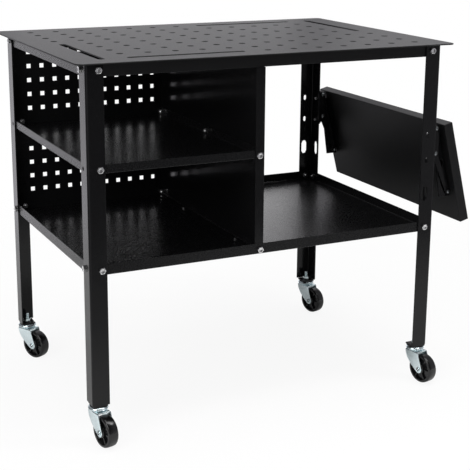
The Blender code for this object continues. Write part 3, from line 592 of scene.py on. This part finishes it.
class WORKTABLE_OT_sheet_edges(bpy.types.Operator):
    """Soften the cut edges of the sheet metal, so that they catch the light as coated edges do"""
    bl_idname = "worktable.sheet_edges"
    bl_label = "Sheet edges"

    def execute(self, context):
        for name, node in frame["nodes"].items():
            coated = node.material_slots[0].material.name.startswith("powder_coat")
            # The pegboards' punched holes stay sharp
            if node.hide_render or not coated or "pegboard" in name:
                continue
            weld = node.modifiers.new("weld", "WELD")
            weld.merge_threshold = NEAR
            plain = node.modifiers.new("plain faces", "DECIMATE")
            plain.decimate_type = "DISSOLVE"
            plain.angle_limit = math.radians(0.5)
            edge = node.modifiers.new("edge", "BEVEL")
            edge.width = FOLDED_EDGES.get(name, CUT_EDGE) * MM
            edge.segments = 2
            edge.limit_method = "ANGLE"
            edge.angle_limit = math.radians(50)
            normals = node.modifiers.new("normals", "WEIGHTED_NORMAL")
            normals.keep_sharp = True
        return {"FINISHED"}


class WORKTABLE_OT_top(bpy.types.Operator):
    """Punch the table top with round holes and four slots"""
    bl_idname = "worktable.top"
    bl_label = "Punched top"

    def execute(self, context):
        sizes = context.scene.work_table_top
        low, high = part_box("tabletop_plate")
        centre, half = (low + high) / 2, (high - low) / 2
        bm = bmesh.new()
        top_edges, under_edges = [], []

        def wall(x, y, radius, stretch_x, stretch_y, edge, segments):
            """An upright wall with softened edges, round a hole or stretched round a slot or the plate."""
            levels = ((radius + edge, high.z), (radius, high.z - abs(edge)), (radius, low.z + abs(edge)),
                      (radius + edge, low.z))
            half_step = Matrix.Rotation(math.pi / segments, 4, "Z")
            rings = []
            for reach, level in levels:
                place = Matrix.Translation((0, 0, level)) @ half_step
                ring = bmesh.ops.create_circle(bm, segments=segments, radius=reach, matrix=place)
                rings.append(ring["verts"])
            top_edges.extend(edges_of(rings[0]))
            under_edges.extend(edges_of(rings[-1]))
            for upper, lower in zip(rings, rings[1:]):
                bmesh.ops.bridge_loops(bm, edges=edges_of(upper) + edges_of(lower))
            for vert in (vert for ring in rings for vert in ring):
                vert.co.x += x + math.copysign(stretch_x, vert.co.x)
                vert.co.y += y + math.copysign(stretch_y, vert.co.y)

        run = sizes.slot_steps
        last_column, last_row = sizes.columns - 1, sizes.rows - 1
        # Each slot's first hole, and whether it runs across the width or the depth
        slots = [(0, 0, 0, 1), (1, 0, 1, 0), (last_column, last_row - run, 0, 1),
                 (last_column - 1 - run, last_row, 1, 0)]
        taken = {(column + step * across, row + step * along) for column, row, across, along in slots
                 for step in range(run + 1)}
        # The holes stand about the middle of the leg frame
        middle_x = (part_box("front_left_leg")[0].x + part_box("front_right_leg")[1].x) / 2
        middle_y = (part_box("front_left_leg")[0].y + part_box("rear_left_leg")[1].y) / 2

        def hole_place(column, row):
            return (middle_x + (column - last_column / 2) * sizes.pitch,
                    middle_y + (row - last_row / 2) * sizes.pitch)

        for column in range(sizes.columns):
            for row in range(sizes.rows):
                if (column, row) not in taken:
                    wall(*hole_place(column, row), sizes.hole / 2, 0, 0, sizes.edge, HOLE_STEPS)
        for column, row, across, along in slots:
            place = hole_place(column + across * run / 2, row + along * run / 2)
            reach = run * sizes.pitch / 2
            wall(*place, sizes.hole / 2, across * reach, along * reach, sizes.edge, HOLE_STEPS)
        wall(centre.x, centre.y, sizes.corner, half.x - sizes.corner, half.y - sizes.corner, -sizes.edge,
             CORNER_STEPS)
        bmesh.ops.triangle_fill(bm, edges=top_edges, use_beauty=True, normal=(0, 0, 1))
        bmesh.ops.triangle_fill(bm, edges=under_edges, use_beauty=True, normal=(0, 0, -1))
        finished("punched_top", bm, ["powder_coat_textured"], "table_frame", COAT, "tabletop_plate")
        return {"FINISHED"}


class WORKTABLE_OT_bolts(bpy.types.Operator):
    """Bolt the rails, the shelf, the tray and the divider together"""
    bl_idname = "worktable.bolts"
    bl_label = "Bolts and nuts"

    def execute(self, context):
        sizes = context.scene.work_table_fasteners
        heights = {"rail": middle_height("front_rail"), "shelf": middle_height("mid_shelf"),
                   "tray": middle_height("bottom_tray")}
        for corner in CORNERS:
            self.leg_bolts(corner, sizes, heights)
        self.divider_bolts(sizes, heights)
        return {"FINISHED"}

    def leg_bolts(self, corner, sizes, heights):
        """Bolts in both flanges of a leg at the rails and the tray, and in a left leg at the shelf too."""
        low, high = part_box(f"{corner}_leg")
        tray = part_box("bottom_tray")
        left, front = "left" in corner, "front" in corner
        inset = sizes.left_inset if left else sizes.right_inset
        out_x, out_y = (-1 if left else 1), (-1 if front else 1)
        corner_x, corner_y = (low.x if left else high.x), (low.y if front else high.y)
        grip_x = abs(corner_x - tray[0 if left else 1].x) + sizes.sheet
        grip_y = abs(corner_y - tray[0 if front else 1].y) + sizes.sheet
        if corner == "rear_left":
            # These bolts hold the pegboards too
            grip_y = corner_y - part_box("lower_pegboard")[0].y
        bm = bmesh.new()
        for level, height in heights.items():
            if level != "shelf" or left:
                point = (corner_x - out_x * inset, corner_y, height)
                put(bm, hex_bolt(sizes, grip_y), facing(point, (0, out_y, 0)))
            if level != "shelf":
                point = (corner_x, corner_y - out_y * sizes.left_inset, height)
                put(bm, hex_bolt(sizes, grip_x), facing(point, (out_x, 0, 0)))
        finished(f"{corner}_leg_bolts", bm, ["zinc_plate_bolts"], "table_frame", ZINC)

    def divider_bolts(self, sizes, heights):
        """Bolts in the divider's flanges and side, and the small bolts in its foot."""
        low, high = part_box("divider_panel")
        tray_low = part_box("bottom_tray")[0]
        step = tray_low.y - low.y
        bm = bmesh.new()
        # The divider's flanges stand outside the shelf's lips and inside the tray's
        for level, behind, inset in (("shelf", 0, sizes.shelf_inset), ("tray", step, sizes.flange_inset)):
            height = heights[level] - sizes.flange_drop
            for out_y, point in ((-1, (high.x - inset, low.y + behind, height)),
                                 (1, (high.x - sizes.flange_inset, high.y - behind, height))):
                put(bm, hex_bolt(sizes, step + sizes.sheet), facing(point, (0, out_y, 0)))
        point = (high.x, (low.y + high.y) / 2, heights["shelf"] - sizes.side_drop)
        put(bm, hex_bolt(sizes, high.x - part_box("mid_shelf")[1].x + sizes.sheet), facing(point, (1, 0, 0)))
        across = low.x + sizes.foot_inset + sizes.small_flats / 2
        foot = tray_low.z + 2 * sizes.sheet + GAP
        rod = thread_profile(sizes.small_thread / 2, sizes.small_step, 0, sizes.small_length)
        for along in (place * MM for place in FOOT_BOLTS):
            head = hex_body(sizes.small_flats, 0, sizes.small_head, False)
            put(bm, head, facing((across, along, foot), (0, 0, 1)))
            nut = hex_body(sizes.small_flats, -sizes.small_nut, 0, True, sizes.small_thread * 0.45)
            put(bm, nut, facing((across, along, tray_low.z), (0, 0, 1)))
            put(bm, lathe(rod, ROD_STEPS), facing((across, along, foot + 0.2 * MM), (0, 0, -1)))
        finished("divider_bolts", bm, ["zinc_plate_bolts"], "table_frame", ZINC)


class WORKTABLE_OT_bends(bpy.types.Operator):
    """Round the inside bends of the trays, where light gathers, and close the steps of the divider's flanges"""
    bl_idname = "worktable.bends"
    bl_label = "Folded sheets"

    def execute(self, context):
        sizes = context.scene.work_table_fasteners
        divider_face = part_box("divider_panel")[1].x
        for tray in ("bottom_tray", "mid_shelf"):
            low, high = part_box(tray)
            low += Vector((sizes.sheet, sizes.sheet, sizes.sheet))
            high -= Vector((sizes.sheet, sizes.sheet, 0))
            wide, deep = Vector((high.x - low.x, 0, 0)), Vector((0, high.y - low.y, 0))
            # Each bend's start, its run, and the way from the lip onto the floor
            bends = [(low, wide, (0, 1, 0)), (low, deep, (1, 0, 0)),
                     (Vector((high.x, low.y, low.z)), deep, (-1, 0, 0))]
            if tray == "bottom_tray":
                # Pegboards fill the rear corner of the left bays, so the rear bend shows in the right bay alone.
                # The divider's foot is folded to the left.
                rear = Vector((divider_face, high.y, low.z))
                foot = Vector((divider_face - sizes.sheet, low.y, low.z + sizes.sheet + GAP))
                bends += [(rear, Vector((high.x - divider_face, 0, 0)), (0, -1, 0)), (foot, deep, (-1, 0, 0))]
            bm = bmesh.new()
            for corner, run, floor_way in bends:
                self.bend(bm, corner, run, Vector(floor_way), sizes.bend)
            finished(f"{tray}_bends", bm, ["powder_coat_sandy"], "table_frame", COAT)
        self.joggles(sizes)
        return {"FINISHED"}

    def bend(self, bm, corner, run, floor_way, radius):
        """A hollow round along an inside corner, set a little into both sheets."""
        up = Vector((0, 0, 1))
        section = [corner - 0.2 * MM * (floor_way + up)]
        for turn in (math.radians(degrees) for degrees in (0, 22.5, 45, 67.5, 90)):
            section.append(corner + radius * ((1 - math.sin(turn)) * floor_way + (1 - math.cos(turn)) * up))
        extruded(bm, section, run)

    def joggles(self, sizes):
        """Steps of the divider's flanges at the tray's lips and the rails, and the pegboards' edge strips."""
        low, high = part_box("divider_panel")
        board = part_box("lower_pegboard")[1]
        tray_top, rail_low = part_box("bottom_tray")[1].z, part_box("rear_rail")[0].z
        shelf_low, shelf_top = (corner.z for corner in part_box("mid_shelf"))
        step = high.y - sizes.sheet - board.y
        blocks = []
        for bottom in (tray_top, rail_low - sizes.sheet):
            for front in (board.y, low.y + sizes.sheet):
                blocks.append(((low.x, front, bottom),
                               (high.x - sizes.sheet / 2, front + step, bottom + sizes.sheet)))
        for bottom, top in ((tray_top, shelf_low), (shelf_top, rail_low)):
            blocks.append(((board.x - 2 * sizes.sheet, board.y, bottom),
                           (board.x + 2 * sizes.sheet, board.y + step, top)))
        bm = bmesh.new()
        for start, end in ((Vector(start), Vector(end)) for start, end in blocks):
            place = Matrix.Translation((start + end) / 2) @ Matrix.Diagonal((*(end - start), 1))
            bmesh.ops.create_cube(bm, size=1, matrix=place)
        finished("divider_joggles", bm, ["powder_coat_black"], "table_frame", COAT)


class WORKTABLE_OT_casters(bpy.types.Operator):
    """Build the swivel casters: threaded stems, races, pressed forks, riveted axles and ribbed wheels"""
    bl_idname = "worktable.casters"
    bl_label = "Casters"

    def execute(self, context):
        sizes = context.scene.work_table_casters
        for corner in CORNERS:
            swivel = Vector(JOINTS[f"{corner}_caster_turn"]["pos_m"])
            axle = Vector(JOINTS[f"{corner}_wheel_spin"]["pos_m"])
            leg_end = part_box(f"{corner}_leg")[0].z
            trail = Vector((axle.x - swivel.x, axle.y - swivel.y))
            heading = Matrix.Rotation(math.atan2(trail.y, trail.x), 4, "Z")
            place = Matrix.Translation((swivel.x, swivel.y, leg_end)) @ heading
            axle_place = Matrix.Translation(axle) @ heading @ Matrix.Rotation(math.radians(-90), 4, "X")
            self.stem(corner, sizes, place)
            self.fork(corner, sizes, place, trail.length, leg_end - axle.z)
            self.axle(corner, sizes, axle_place)
            self.wheel(corner, sizes, axle_place)
        return {"FINISHED"}

    def stem(self, corner, sizes, place):
        """Threaded stem with the domed upper race, the kingpin below it, and the nut above the foot plate."""
        rim, pin = sizes.race / 2, sizes.kingpin / 2
        top, split = -sizes.race_top, -sizes.race_split + sizes.race_gap / 2
        under = -sizes.crown_top - sizes.fork_sheet - GAP
        thread = thread_profile(sizes.stem / 2, sizes.stem_step, top - 0.5 * MM, sizes.stem_rise)
        bm = lathe(thread, TURNED_STEPS)
        dome = [(0, top), *off(rim, top, (-6, 0), (-3.2, -0.5), (-1.2, -1.6), (-0.2, -3)),
                *off(rim, split, (0, 0.5), (-0.5, 0)), (pin, split),
                *off(pin, under, (0, 0), (2, 0), (1.6, -1.4), (0, -2)), (0, under - 2 * MM)]
        put(bm, lathe(dome, RACE_STEPS))
        finished(f"{corner}_threaded_stem", bm, ["zinc_plate_bright"], "table_frame", ZINC,
                 f"{corner}_caster_stem", place=place)
        nut = hex_body(sizes.nut_flats, 0, sizes.nut_height, True, sizes.stem * 0.46)
        finished(f"{corner}_hex_nut", nut, ["zinc_plate_bright"], "table_frame", ZINC,
                 f"{corner}_stem_nut", place=place)

    def fork(self, corner, sizes, place, trail, drop):
        """Fork pressed from one sheet: a crown that bends into two tapering cheeks, under the lower race."""
        crown = -sizes.crown_top
        axle = Vector((trail, -drop))

        def tangent(point, side):
            toward = Vector(point) - axle
            return math.atan2(toward.y, toward.x) + side * math.acos(sizes.fork_tip / toward.length)

        rear, front = Vector((sizes.crown_rear, crown)), Vector((-sizes.crown_front, crown))
        turn = front - Vector((0, sizes.bow))
        start, end = tangent(turn, 1) - 2 * math.pi, tangent(rear, -1)
        tip = [axle + sizes.fork_tip * Vector((math.cos(way), math.sin(way)))
               for way in (start + (end - start) * step / TIP_STEPS for step in range(TIP_STEPS + 1))]
        # The cheeks' front edges leave the crown square and bow towards the tip
        bow = [front.lerp(turn, part).lerp(turn.lerp(tip[0], part), part)
               for part in (step / BOW_STEPS for step in range(2, BOW_STEPS))]
        bm = bmesh.new()
        outline = [(point.x, -sizes.fork_half, point.y) for point in (rear, front, *bow, *tip)]
        extruded(bm, outline, (0, 2 * sizes.fork_half, 0))
        bmesh.ops.recalc_face_normals(bm, faces=bm.faces)
        # The crown and both cheeks stay, and the walls between the cheeks go
        walls = [face for face in bm.faces if abs(face.normal.y) < 0.5 and face.normal.z < 0.9]
        bmesh.ops.delete(bm, geom=walls, context="FACES")
        bends = [edge for edge in bm.edges if all(abs(vert.co.z - crown) < NEAR for vert in edge.verts)
                 and abs(edge.verts[0].co.y - edge.verts[1].co.y) < NEAR]
        bmesh.ops.bevel(bm, geom=bends, offset=sizes.fork_bend, segments=5, profile=0.5, affect="EDGES",
                        material=-1)
        bmesh.ops.solidify(bm, geom=bm.faces[:], thickness=sizes.fork_sheet)
        rims = [edge for edge in bm.edges if edge.is_manifold and edge.calc_face_angle() > math.radians(60)]
        bmesh.ops.bevel(bm, geom=rims, offset=sizes.fork_edge, segments=2, profile=0.5, affect="EDGES",
                        material=-1)
        rim, bore = sizes.race / 2, sizes.kingpin / 2 + sizes.kingpin_play
        split, seat = -sizes.race_split - sizes.race_gap / 2, crown - 0.4 * MM
        race = [(bore, split), *off(rim, split, (-0.6, 0), (0, -0.5), (-0.1, -1.6), (-1.5, -3.2), (-4, -4.4)),
                *off(rim, seat, (-6, 0)), (bore, seat), (bore, split)]
        put(bm, lathe(race, RACE_STEPS))
        finished(f"{corner}_pressed_fork", bm, ["zinc_plate_bright"], f"{corner}_swivel", ZINC,
                 f"{corner}_caster_fork", place=place)

    def axle(self, corner, sizes, place):
        """Axle with a rolled collar over each cheek, and a black ring in the groove round its end as painted
        shade.
        """
        seat, head = sizes.fork_half, sizes.axle_head / 2
        # Shares of the head's radius, and millimetres out from the cheek
        collar = ((0, 2.2), (0.2, 2.2), (0.28, 1.8), (0.3, 0.5), (0.6, 0.5), (0.62, 2.1), (0.7, 2.5),
                  (0.8, 2.2), (0.88, 1.5), (0.86, 0.7))
        # Painted shade: a black ring fills the groove round each axle end, so that the groove reads dark
        groove = ((0.31, 0.6), (0.59, 0.6), (0.59, 1.4), (0.31, 1.4), (0.31, 0.6))
        end, painted_shade_ring = ([(share * head, seat + out * MM) for share, out in shape] for shape in (collar, groove))
        bm = lathe(mirrored(end + off(sizes.axle / 2, seat, (0, 0.3))), AXLE_STEPS)
        put_end_rings(bm, painted_shade_ring, AXLE_STEPS)
        finished(f"{corner}_riveted_axle", bm, ["zinc_plate_bright", "nylon_black_and_painted_shade"], f"{corner}_swivel", ZINC,
                 f"{corner}_caster_axle", place=place)

    def wheel(self, corner, sizes, place):
        """Moulded wheel: rounded tread with a parting line, deep sides with ribs, and a raised hub."""
        tread, side, hub = sizes.wheel / 2, sizes.wheel_width / 2, sizes.hub / 2
        hub_side = sizes.fork_half - sizes.fork_sheet - sizes.hub_play
        bore, rim, web = sizes.axle / 2 + sizes.axle_play, tread - sizes.wheel_rim, side - sizes.wheel_hollow
        half = [(bore, hub_side), *off(hub, hub_side, (-1.5, 0), (0, -1.2)),
                *off(hub, web, (0.8, 0.8), (1.6, 0)), *off(rim, web, (-1.6, 0), (-0.8, 0.8)),
                *off(rim, side, (0, -0.6), (0.6, 0)),
                *off(tread, side, (-4, 0), (-1.8, -0.8), (-0.6, -2.4), (-0.1, -5)), (tread, 0.5 * MM)]
        bm = lathe(mirrored(half) + [half[0]], WHEEL_STEPS)
        bm.normal_update()
        for sign in (-1, 1):
            ribs = []
            for face in bm.faces:
                point = face.calc_center_median()
                step = int((math.atan2(point.y, point.x) % (2 * math.pi)) / (2 * math.pi) * WHEEL_STEPS)
                inside = hub < point.xy.length < rim and abs(point.z - sign * web) < 1.2 * MM
                if inside and step % (WHEEL_STEPS // sizes.ribs) == 0:
                    ribs.append(face)
            raised = bmesh.ops.extrude_face_region(bm, geom=ribs)
            bmesh.ops.delete(bm, geom=ribs, context="FACES")
            for vert in verts_in(raised["geom"]):
                vert.co.z = sign * (web + sizes.rib_height)
        finished(f"{corner}_ribbed_wheel", bm, ["polypropylene_black"], f"{corner}_roller", PLASTIC,
                 f"{corner}_caster_wheel", place=place, sharp=40)


class WORKTABLE_OT_rivets(bpy.types.Operator):
    """Fit the folding brackets: domed rivets on nylon washers, nuts in the legs, guards behind the slots"""
    bl_idname = "worktable.rivets"
    bl_label = "Bracket rivets"

    def execute(self, context):
        sizes = context.scene.work_table_brackets
        for side in SIDES:
            self.rivet(f"{side}_hinge_pin", "table_frame", sizes, sizes.head)
            self.rivet(f"{side}_strut_pin", "table_frame", sizes, sizes.head)
            self.rivet(f"{side}_slot_pin", f"{side}_strut_body", sizes, sizes.slot_head)
            self.bracket_nuts(side, sizes)
            self.slot_guard(side, sizes)
        return {"FINISHED"}

    def rivet(self, node, body, sizes, head):
        """A pin with a domed head at each end, on a thin washer."""
        low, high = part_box(node)
        reach, flange, shank = (high.y - low.y) / 2, (high.x - low.x) / 2, sizes.shank / 2
        dome = 0.68 * flange
        inner = reach - head
        outer = inner + min(sizes.washer, head * 0.45)
        half = [(0, reach), (0.45 * dome, reach - 0.15 * MM), (0.8 * dome, reach - 0.3 * head),
                (dome, reach - 0.55 * head), *off(dome, inner, (0, 0.1)), *off(shank, inner, (0, 0.1))]
        bm = lathe(mirrored(half), TURNED_STEPS)
        ring = [(shank, inner), *off(flange, inner, (-0.2, 0), (0, 0.2)), *off(flange, outer, (-0.3, 0)),
                (shank, outer), (shank, inner)]
        put_end_rings(bm, ring, TURNED_STEPS)
        finished(f"{node}_rivet", bm, ["rivet_steel_dull", "nylon_black_and_painted_shade"], body, ZINC, node,
                 place=facing((low + high) / 2, (0, 1, 0)))

    def bracket_nuts(self, side, sizes):
        """Nuts on washers inside the leg, on the studs of the wall bracket."""
        low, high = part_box(f"{side}_wall_bracket")
        leg_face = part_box("front_right_leg")[1].x - sizes.leg_sheet
        stud = sizes.stud / 2
        washer = off(stud, 0, (0.2, 0), (2.4, 0), (2.4, 0.8), (2.2, 1), (0.2, 1), (0.2, 0))
        rod = thread_profile(stud, sizes.stud_step, -2.5 * MM, 6 * MM)
        bm = bmesh.new()
        for height in (sizes.stud_low, sizes.stud_high):
            place = facing((leg_face, (low.y + high.y) / 2, low.z + height), (-1, 0, 0))
            put(bm, lathe(washer, TURNED_STEPS), place)
            put(bm, hex_body(sizes.nut_flats, 1 * MM, 4.4 * MM, True, stud - 0.1 * MM), place)
            put(bm, lathe(rod, ROD_STEPS), place)
        finished(f"{side}_bracket_nuts", bm, ["zinc_plate_bolts"], "table_frame", ZINC)

    def slot_guard(self, side, sizes):
        """A thin plate on the leaf arm's flange, behind its slot, so that no light shows through the slot."""
        leaf, strut = JOINTS["leaf_fold"], JOINTS[f"{side}_strut_fold"]
        low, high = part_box(f"{side}_slot_pin")
        pin, hinge, pivot = (low + high) / 2, Vector(leaf["pos_m"]), Vector(strut["pos_m"])
        near = high.y + sizes.guard_gap
        upright = Matrix.Rotation(math.pi / 2, 4, "X")
        bm = bmesh.new()
        for part in (step / PATH_STEPS for step in range(PATH_STEPS + 1)):
            # The strut carries the pin round its pivot, and turning the leaf back gives its place in the arm
            swing = Matrix.Rotation(-math.radians(strut["range_deg"][1]) * part, 3, "Y")
            back = Matrix.Rotation(math.radians(leaf["range_deg"][1]) * part, 3, "Y")
            spot = hinge + back @ (pivot + swing @ (pin - pivot) - hinge)
            for depth in (near, near + sizes.guard_sheet):
                place = Matrix.Translation((spot.x, depth, spot.z)) @ upright
                bmesh.ops.create_circle(bm, segments=GUARD_STEPS, radius=sizes.guard / 2, matrix=place)
        hull = bmesh.ops.convex_hull(bm, input=bm.verts)
        inner = verts_in(hull["geom_interior"] + hull["geom_unused"])
        bmesh.ops.delete(bm, geom=inner, context="VERTS")
        loose = [edge for edge in bm.edges if not edge.link_faces]
        bmesh.ops.delete(bm, geom=loose, context="EDGES")
        finished(f"{side}_slot_guard", bm, ["powder_coat_black"], "leaf", COAT)


class WORKTABLE_OT_studio(bpy.types.Operator):
    """Set the camera, the pale floor, the softboxes and the white background"""
    bl_idname = "worktable.studio"
    bl_label = "Studio"

    def execute(self, context):
        studio, finish = context.scene.work_table_studio, context.scene.work_table_finish
        self.camera(context, studio)
        self.lamps(context, studio)
        self.floor(context, studio, finish)
        self.room(context, studio)
        context.scene.view_settings.view_transform = "Standard"
        return {"FINISHED"}

    def camera(self, context, studio):
        """Seen from the left of the front and a little above the top, on a long lens."""
        data = bpy.data.cameras.new("camera")
        data.sensor_width = 36
        data.lens = studio.lens
        data.shift_y = studio.shift
        camera = bpy.data.objects.new("camera", data)
        turn = Matrix.Rotation(-studio.heading, 4, "Z") @ Matrix.Rotation(math.pi / 2 - studio.pitch, 4, "X")
        camera.matrix_world = Matrix.Translation(studio.place) @ turn @ Matrix.Rotation(studio.roll, 4, "Z")
        context.scene.collection.objects.link(camera)
        context.scene.camera = camera

    def lamps(self, context, studio):
        """Softboxes, each with its place, the point that it faces, its size and its power."""
        for name, place, target, size, watts in (
                ("key softbox", (-2.6, -1.5, 1.9), (0, 0, 0.4), (1.8, 1.8), studio.key),
                ("top softbox", (0.0, -0.3, 2.9), (0, 0, 0.5), (2.2, 1.6), studio.top),
                ("fill softbox", (1.3, -1.0, 2.7), (0, 0, 0.3), (0.7, 0.7), studio.fill),
                ("back softbox", (0.75, 2.4, 0.95), (0, 0, 0.5), (1.3, 0.7), studio.back),
                ("side softbox", (1.7, 1.7, 1.7), (0.3, 0, 0.8), (0.7, 0.7), studio.side)):
            data = bpy.data.lights.new(name, "AREA")
            data.shape = "RECTANGLE"
            data.size, data.size_y = size
            data.energy = watts
            lamp = bpy.data.objects.new(name, data)
            lamp.visible_camera = False
            lamp.location = place
            lamp.rotation_euler = (Vector(target) - Vector(place)).to_track_quat("-Z", "Y").to_euler()
            context.scene.collection.objects.link(lamp)

    def floor(self, context, studio, finish):
        """A pale disc that fades into the white background and keeps the table's shadow."""
        bm = bmesh.new()
        bmesh.ops.create_circle(bm, cap_ends=True, segments=FLOOR_STEPS, radius=studio.floor_reach)
        mesh = bpy.data.meshes.new("floor")
        bm.to_mesh(mesh)
        bm.free()
        floor = bpy.data.objects.new("floor", mesh)
        context.scene.collection.objects.link(floor)
        # Matt studio paper: the camera sees it lifted towards white, and its edge fades out
        material = bpy.data.materials.new("studio_paper")
        mesh.materials.append(material)
        add = empty_tree(material)
        place = add("TexCoord").outputs["Object"]
        rays = add("LightPath").outputs
        reach = add("VectorMath", {0: place}, operation="LENGTH")
        spot = add("SeparateXYZ", {0: place}).outputs
        # Each band of the floor: what it goes by, where it starts and is full, how full, and how it rises
        bands = {}
        for name, value, start, full, most, rise in (
                ("edge", reach, 1.0, 2.0, 1.0, "SMOOTHSTEP"),
                ("behind", spot["Y"], 0.2, 0.7, 1.0, "SMOOTHSTEP"),
                ("right", spot["X"], -0.65, -0.2, 1.0, "SMOOTHSTEP"),
                ("before", spot["Y"], -0.5, -1.0, 0.65, "LINEAR"),
                ("left", spot["X"], 0.3, -0.05, 1.0, "SMOOTHSTEP")):
            bands[name] = add("MapRange", {"Value": value, "From Min": start, "From Max": full, "To Max": most},
                              interpolation_type=rise)
        # Painted shade: the finishes reflect the floor darker behind the table, as in its shadow, and in front
        # on the left
        painted_shade = add("Math", {0: bands["behind"], 1: bands["right"]}, operation="MULTIPLY")
        painted_shade = add("Math", {0: bands["before"], 1: bands["left"], 2: painted_shade}, operation="MULTIPLY_ADD")
        painted_shade = add("Math", {0: painted_shade, 1: rays["Is Glossy Ray"]}, operation="MULTIPLY")
        tone = add("Mix", {MIX_FACTOR: painted_shade, MIX_LOW: finish.floor_tone, MIX_HIGH: finish.floor_painted_shade},
                   data_type="RGBA")
        seen = add("Math", {0: rays["Is Camera Ray"], 1: rays["Is Transmission Ray"]}, operation="MAXIMUM")
        lift = add("Math", {0: seen, 1: studio.floor_lift}, operation="MULTIPLY")
        paper = add("BsdfDiffuse", {"Color": tone})
        white = add("Emission", {"Color": WHITE, "Strength": 1.0})
        lifted = add("MixShader", {0: lift, 1: paper, 2: white})
        clear = add("BsdfTransparent")
        faded = add("MixShader", {0: bands["edge"], 1: lifted, 2: clear})
        add("OutputMaterial", {"Surface": faded})

    def room(self, context, studio):
        """White to the camera. The finishes reflect a bright backdrop and a dim room in front of the table."""
        world = bpy.data.worlds.new("studio room")
        context.scene.world = world
        add = empty_tree(world)
        rays = add("LightPath").outputs
        direction = add("TexCoord").outputs["Generated"]
        way = add("SeparateXYZ", {0: direction}).outputs
        slant = add("Math", {0: way["Z"], 1: -0.5, 2: way["X"]}, operation="MULTIPLY_ADD")
        # Each band of the room: what it goes by, where it starts and ends, its level at both, and how it rises.
        # A wall on the left lights the backdrop up to its slanting left end, and a softer one stands in front
        # on the right. Far to the right the backdrop is brighter low down and dimmer above.
        bands = {}
        for name, value, start, end, low, high, rise in (
                ("backdrop", way["Y"], -0.35, 0.35, studio.front_glow, studio.back_glow, "SMOOTHSTEP"),
                ("left wall", way["X"], 0.0, -0.25, 0.0, studio.left_glow, "SMOOTHSTEP"),
                ("left end", slant, -0.34, -0.23, 0.15, 1.0, "SMOOTHSTEP"),
                ("right wall", way["X"], 0.4, 0.7, 0.0, studio.right_glow, "SMOOTHSTEP"),
                ("in front", way["Y"], 0.2, -0.2, 0.0, 1.0, "SMOOTHSTEP"),
                ("far right", way["X"], 0.25, 0.6, -0.1, 0.5, "LINEAR"),
                ("low down", way["Z"], 0.23, 0.12, -1.0, 1.0, "LINEAR")):
            bands[name] = add("MapRange", {"Value": value, "From Min": start, "From Max": end, "To Min": low,
                                           "To Max": high}, interpolation_type=rise)
        far = add("Math", {0: bands["far right"], 1: bands["low down"]}, operation="MULTIPLY")
        back = add("Math", {0: bands["backdrop"], 1: far, 2: bands["backdrop"]}, operation="MULTIPLY_ADD")
        back = add("Math", {0: back, 1: bands["left wall"]}, operation="ADD")
        back = add("Math", {0: back, 1: bands["left end"]}, operation="MULTIPLY")
        both = add("Math", {0: bands["right wall"], 1: bands["in front"], 2: back}, operation="MULTIPLY_ADD")
        even = add("Background", {"Color": WHITE, "Strength": studio.sky})
        reflected = add("Background", {"Color": studio.room_tint, "Strength": both})
        white = add("Background", {"Color": WHITE, "Strength": 1.0})
        shiny = add("Math", {0: rays["Is Glossy Ray"], 1: rays["Is Transmission Ray"]}, operation="MAXIMUM")
        first = add("MixShader", {0: shiny, 1: even, 2: reflected})
        last = add("MixShader", {0: rays["Is Camera Ray"], 1: first, 2: white})
        add("OutputWorld", {"Surface": last})


class WORKTABLE_PT_panel(bpy.types.Panel):
    """The table's steps and sizes"""
    bl_idname = "WORKTABLE_PT_panel"
    bl_label = "Work Table"
    bl_space_type = "VIEW_3D"
    bl_region_type = "UI"
    bl_category = "Work Table"

    def draw(self, context):
        for operator in OPERATORS:
            self.layout.operator(operator.bl_idname)
        for name in GROUPS:
            settings = getattr(context.scene, name)
            column = self.layout.column(align=True)
            column.label(text=settings.bl_rna.description)
            for field in settings.__annotations__:
                column.prop(settings, field)


GROUPS = {
    "work_table_finish": WorkTableFinish,
    "work_table_top": WorkTableTop,
    "work_table_fasteners": WorkTableFasteners,
    "work_table_casters": WorkTableCasters,
    "work_table_brackets": WorkTableBrackets,
    "work_table_studio": WorkTableStudio,
}
OPERATORS = (
    WORKTABLE_OT_finishes,
    WORKTABLE_OT_top,
    WORKTABLE_OT_bolts,
    WORKTABLE_OT_bends,
    WORKTABLE_OT_casters,
    WORKTABLE_OT_rivets,
    WORKTABLE_OT_sheet_edges,
    WORKTABLE_OT_studio,
)


def register():
    for name, group in GROUPS.items():
        bpy.utils.register_class(group)
        setattr(bpy.types.Scene, name, PointerProperty(type=group))
    for kind in (*OPERATORS, WORKTABLE_PT_panel):
        bpy.utils.register_class(kind)


def unregister():
    for kind in reversed((*OPERATORS, WORKTABLE_PT_panel)):
        bpy.utils.unregister_class(kind)
    for name, group in GROUPS.items():
        delattr(bpy.types.Scene, name)
        bpy.utils.unregister_class(group)


def main():
    register()
    bpy.ops.worktable.finishes()
    bpy.ops.worktable.top()
    bpy.ops.worktable.bolts()
    bpy.ops.worktable.bends()
    bpy.ops.worktable.casters()
    bpy.ops.worktable.rivets()
    bpy.ops.worktable.sheet_edges()
    bpy.ops.worktable.studio()


if __name__ == "__main__":
    main()
